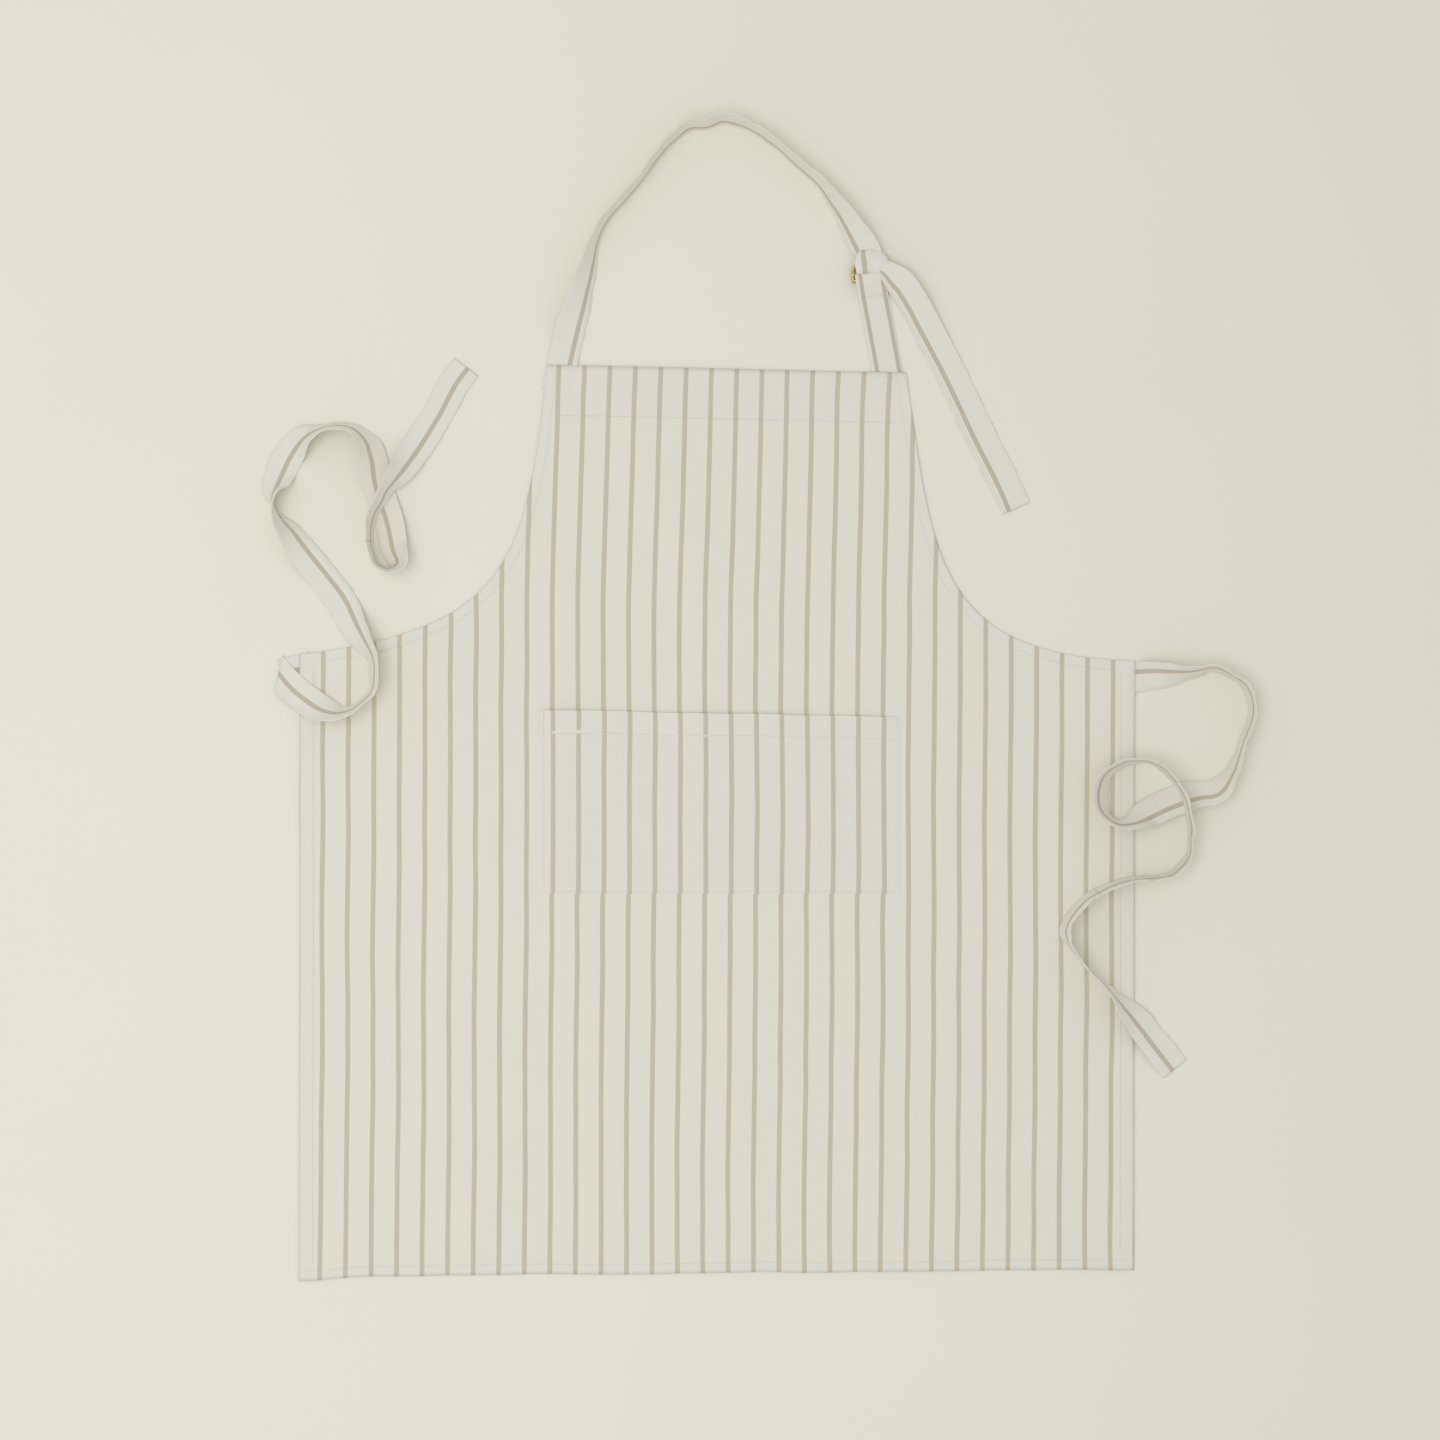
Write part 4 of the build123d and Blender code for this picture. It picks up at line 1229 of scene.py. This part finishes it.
@dataclass
class PatchPocket:
    """The wide patch pocket, sewn on three sides, with a turned hem at its mouth."""

    panel: BodyPanel
    wardrobe: Wardrobe
    lean: float = -0.0195            # the mouth drops this much per metre towards +X
    hem: float = 0.0195
    seam: float = 0.0030
    turned: float = 0.008            # width of the edges that are turned under
    gape: float = 0.0022             # how far the mouth stands off the panel
    corner_lift: float = 0.0007      # how far the mouth's left corner does
    belly: float = 0.0004            # how far the middle swells
    turn_step: float = 0.0003        # how much a turned edge lifts the front
    fade: float = 0.001              # how far a turned edge fades
    pressed: float = 0.0025          # how far in from a sewn edge the cloth is pressed down
    under: float = 1.02              # the hem's middle lies this many cloths behind the front's
    seam_top: float = 0.009          # a side's seam ends this far under the mouth
    tack_ends: tuple[float, float] = (0.0016, 0.0086)    # where a tack starts and ends under the mouth
    mismatch: float = 0.0009         # its stripes lie this far to the right of the panel's
    rows: int = 84
    columns: int = 150

    def __post_init__(self) -> None:
        """Take the pocket's size and place from its CAD node."""
        low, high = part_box("pocket_panel")
        self.left, self.right = low[0], high[0]
        self.low = low[1]
        self.mid_x = (self.left + self.right) / 2
        self.top = high[1] + self.lean * (self.right - self.left) / 2
        self.cloth = self.panel.cloth

    def edge(self, x: np.ndarray) -> np.ndarray:
        """Height of the mouth at x: a straight line with a faint wave."""
        return self.top + self.lean * (x - self.mid_x) + 0.0004 * ripple(31, x, 0.17)

    def inward(self, x: np.ndarray, y: np.ndarray) -> np.ndarray:
        """Distance in from the nearest of the three sewn edges."""
        return np.minimum(np.minimum(x - self.left, self.right - x), y - self.low)

    def doubled(self, x: np.ndarray, y: np.ndarray) -> np.ndarray:
        """Say where the pocket is turned: 1 within a turned edge or the mouth's hem, and 0 just past it."""
        return np.maximum(smoothstep(self.turned + self.fade, self.turned, self.inward(x, y)),
                          smoothstep(self.hem + self.fade, self.hem, self.edge(x) - y))

    def height(self, x: np.ndarray, y: np.ndarray) -> np.ndarray:
        """Height of the pocket's middle surface: on the panel, higher where edges are turned under, and
        lifted along the mouth by an uneven amount that is nothing at the side seams."""
        width, depth = self.right - self.left, self.top - self.low
        across = (x - self.left) / width
        down = (self.edge(x) - y) / depth
        sides = smoothstep(0.0, 0.06, across) * smoothstep(0.0, 0.10, 1.0 - across)
        stand = self.gape * sides * (0.8 + 0.35 * ripple(32, x, 0.13))
        corner = self.corner_lift * np.exp(-(across / 0.05) ** 2)
        mouth = np.exp(-(down / 0.16) ** 2) * (stand + corner)
        belly = self.belly * np.sin(np.pi * across.clip(0, 1)) * np.sin(np.pi * down.clip(0, 1))
        sewn = 0.10 + 0.90 * smoothstep(0.0, self.pressed, self.inward(x, y))
        lying = (self.cloth * 1.1 + self.turn_step * self.doubled(x, y)) * sewn
        return self.panel.height(x, y) + lying + mouth + belly

    def build(self) -> None:
        """Make the pocket's sheet, its mouth hem and its seams."""
        x = np.broadcast_to(np.linspace(self.left, self.right, self.columns), (self.rows, self.columns))
        share = np.linspace(0.0, 1.0, self.rows)[:, None]
        y = self.low + share * (self.edge(x) - self.low)
        points = np.stack([x, y, self.height(x, y)], axis=-1)
        uv = np.stack([self.panel.cloth_u(x, y) - self.mismatch, y], axis=-1)
        piece = sheet_piece("patch_pocket", points, uv, self.doubled(x, y))
        crisp_rim(piece)
        thicken(piece, self.cloth)
        self.wardrobe.fit(piece, Slot.POCKET, ROOT, "pocket_panel")
        hem = self.build_hem()
        seams = self.build_seams()
        LOG.info("pocket: %.0f by %.0f mm", (self.right - self.left) * 1000, (self.top - self.low) * 1000)

    def build_hem(self) -> bpy.types.Object:
        """Lay the mouth's turned layer behind the pocket's front."""
        x = np.linspace(self.right - 0.002, self.left + 0.002, 110)
        thin = Section(width=self.hem, thick=self.cloth * LAYER)
        y = self.edge(x) - self.hem / 2
        middle = np.column_stack([x, y, self.height(x, y) - self.cloth * self.under])
        across = np.tile(np.array([0.0, -1.0, 0.0]), (len(x), 1))
        piece = thin.skin("patch_pocket_hem", Lay.square(middle, across), Stripes())
        return self.wardrobe.fit(piece, Slot.POCKET, ROOT)

    def build_seams(self) -> list[bpy.types.Object]:
        """Sew the mouth's hem, the three closed sides and a bar tack at each corner."""
        sewing, tack = Stitching(), Stitching(stitch=0.0016, gap=-0.00105, radius=0.00028)
        x0, x1, y0 = self.left + self.seam, self.right - self.seam, self.low + 0.002
        top0, top1 = self.edge(np.array([x0])).item(), self.edge(np.array([x1])).item()
        xs = np.linspace(x0, x1, 140)
        lines = {
            "pocket_hem_stitch": np.column_stack([xs, self.edge(xs) - self.hem + 0.0010]),
            "pocket_stitch_bottom": np.column_stack([xs, np.full_like(xs, y0)]),
            "pocket_stitch_left": np.linspace((x0, y0 + 0.002), (x0, top0 - self.seam_top), 60),
            "pocket_stitch_right": np.linspace((x1, y0 + 0.002), (x1, top1 - self.seam_top), 60),
        }
        rows = [(node, sewing, flat) for node, flat in lines.items()]
        for node, x, top in (("pocket_tack_left", x0, top0), ("pocket_tack_right", x1, top1)):
            high, low = self.tack_ends
            rows.append((node, tack, np.linspace((x, top - high), (x, top - low), 8)))
        return [self.wardrobe.fit(kind.on_cloth(f"{node}_thread", flat, self), Slot.THREAD, ROOT, node)
                for node, kind, flat in rows]


# ---------------------------------------------------------------- studio


@dataclass
class Studio:
    """The table, the light and the camera straight above."""

    view_width: float = 1.2057       # what the picture takes in, at the table
    lens: float = 70.0
    sensor: float = 36.0
    look_at: tuple[float, float] = (0.00335, -0.0419)
    ambient: float = 0.62
    surround: tuple[float, float, float, float] = (1.0, 0.992, 0.975, 1.0)
    key_power: float = 27.0
    key_size: float = 2.0
    key_place: tuple[float, float, float] = (-0.85, -0.25, 2.9)
    table_half: float = 4.0

    def build(self) -> None:
        """Set up the table, the camera, the ambient light and one broad soft light from the left."""
        self.build_table()
        self.build_camera()
        self.build_world()
        self.build_light()

    def build_table(self) -> None:
        """Lay a wide flat table just under the cloth."""
        half = self.table_half
        corners = np.array([(-half, -half), (half, -half), (half, half), (-half, half)])
        points = np.column_stack([corners, np.full(len(corners), -TABLE_DROP)])
        table = mesh_piece("table", points, [[0, 1, 2, 3]], corners)
        table.data.materials.append(TablePaper().material())

    def build_camera(self) -> None:
        """Hang the camera over the apron, looking straight down with +Y up."""
        camera = bpy.data.cameras.new("overhead")
        camera.lens = self.lens
        camera.sensor_width = self.sensor
        holder = bpy.data.objects.new("overhead", camera)
        holder.location = (*self.look_at, self.view_width * self.lens / self.sensor)
        bpy.context.scene.collection.objects.link(holder)
        bpy.context.scene.camera = holder

    def build_world(self) -> None:
        """Light everything evenly with a warm white surround."""
        world = bpy.data.worlds.new("surround")
        world.use_nodes = True
        background = world.node_tree.nodes["Background"]
        background.inputs["Color"].default_value = self.surround
        background.inputs["Strength"].default_value = self.ambient
        bpy.context.scene.world = world

    def build_light(self) -> None:
        """Add one square soft light, on the left, that faces the apron's middle."""
        lamp = bpy.data.lights.new("window_light", "AREA")
        lamp.size = self.key_size
        lamp.energy = self.key_power
        holder = bpy.data.objects.new("window_light", lamp)
        ray = unit(np.array([*self.look_at, 0.0]) - np.array(self.key_place))
        holder.location = self.key_place
        holder.rotation_euler = (np.arccos(-ray[2]), 0.0, np.arctan2(ray[0], -ray[1]))
        bpy.context.scene.collection.objects.link(holder)


# ---------------------------------------------------------------- assembly


def main() -> None:
    """Build the apron in order: studio, panel, pocket, ties, neck strap, rings."""
    logging.basicConfig(level=logging.INFO, format="%(name)s: %(message)s")
    bpy.context.scene.view_settings.view_transform = "Standard"
    Studio().build()
    wardrobe = Wardrobe()
    panel = BodyPanel(wardrobe)
    cloth = panel.build()
    hems = panel.build_hems()
    seams = panel.build_seams()
    PatchPocket(panel, wardrobe).build()
    WaistTies(wardrobe).build()
    NeckStrap(wardrobe).build()
    RingKnot(wardrobe).build()


if __name__ == "__main__":
    main()
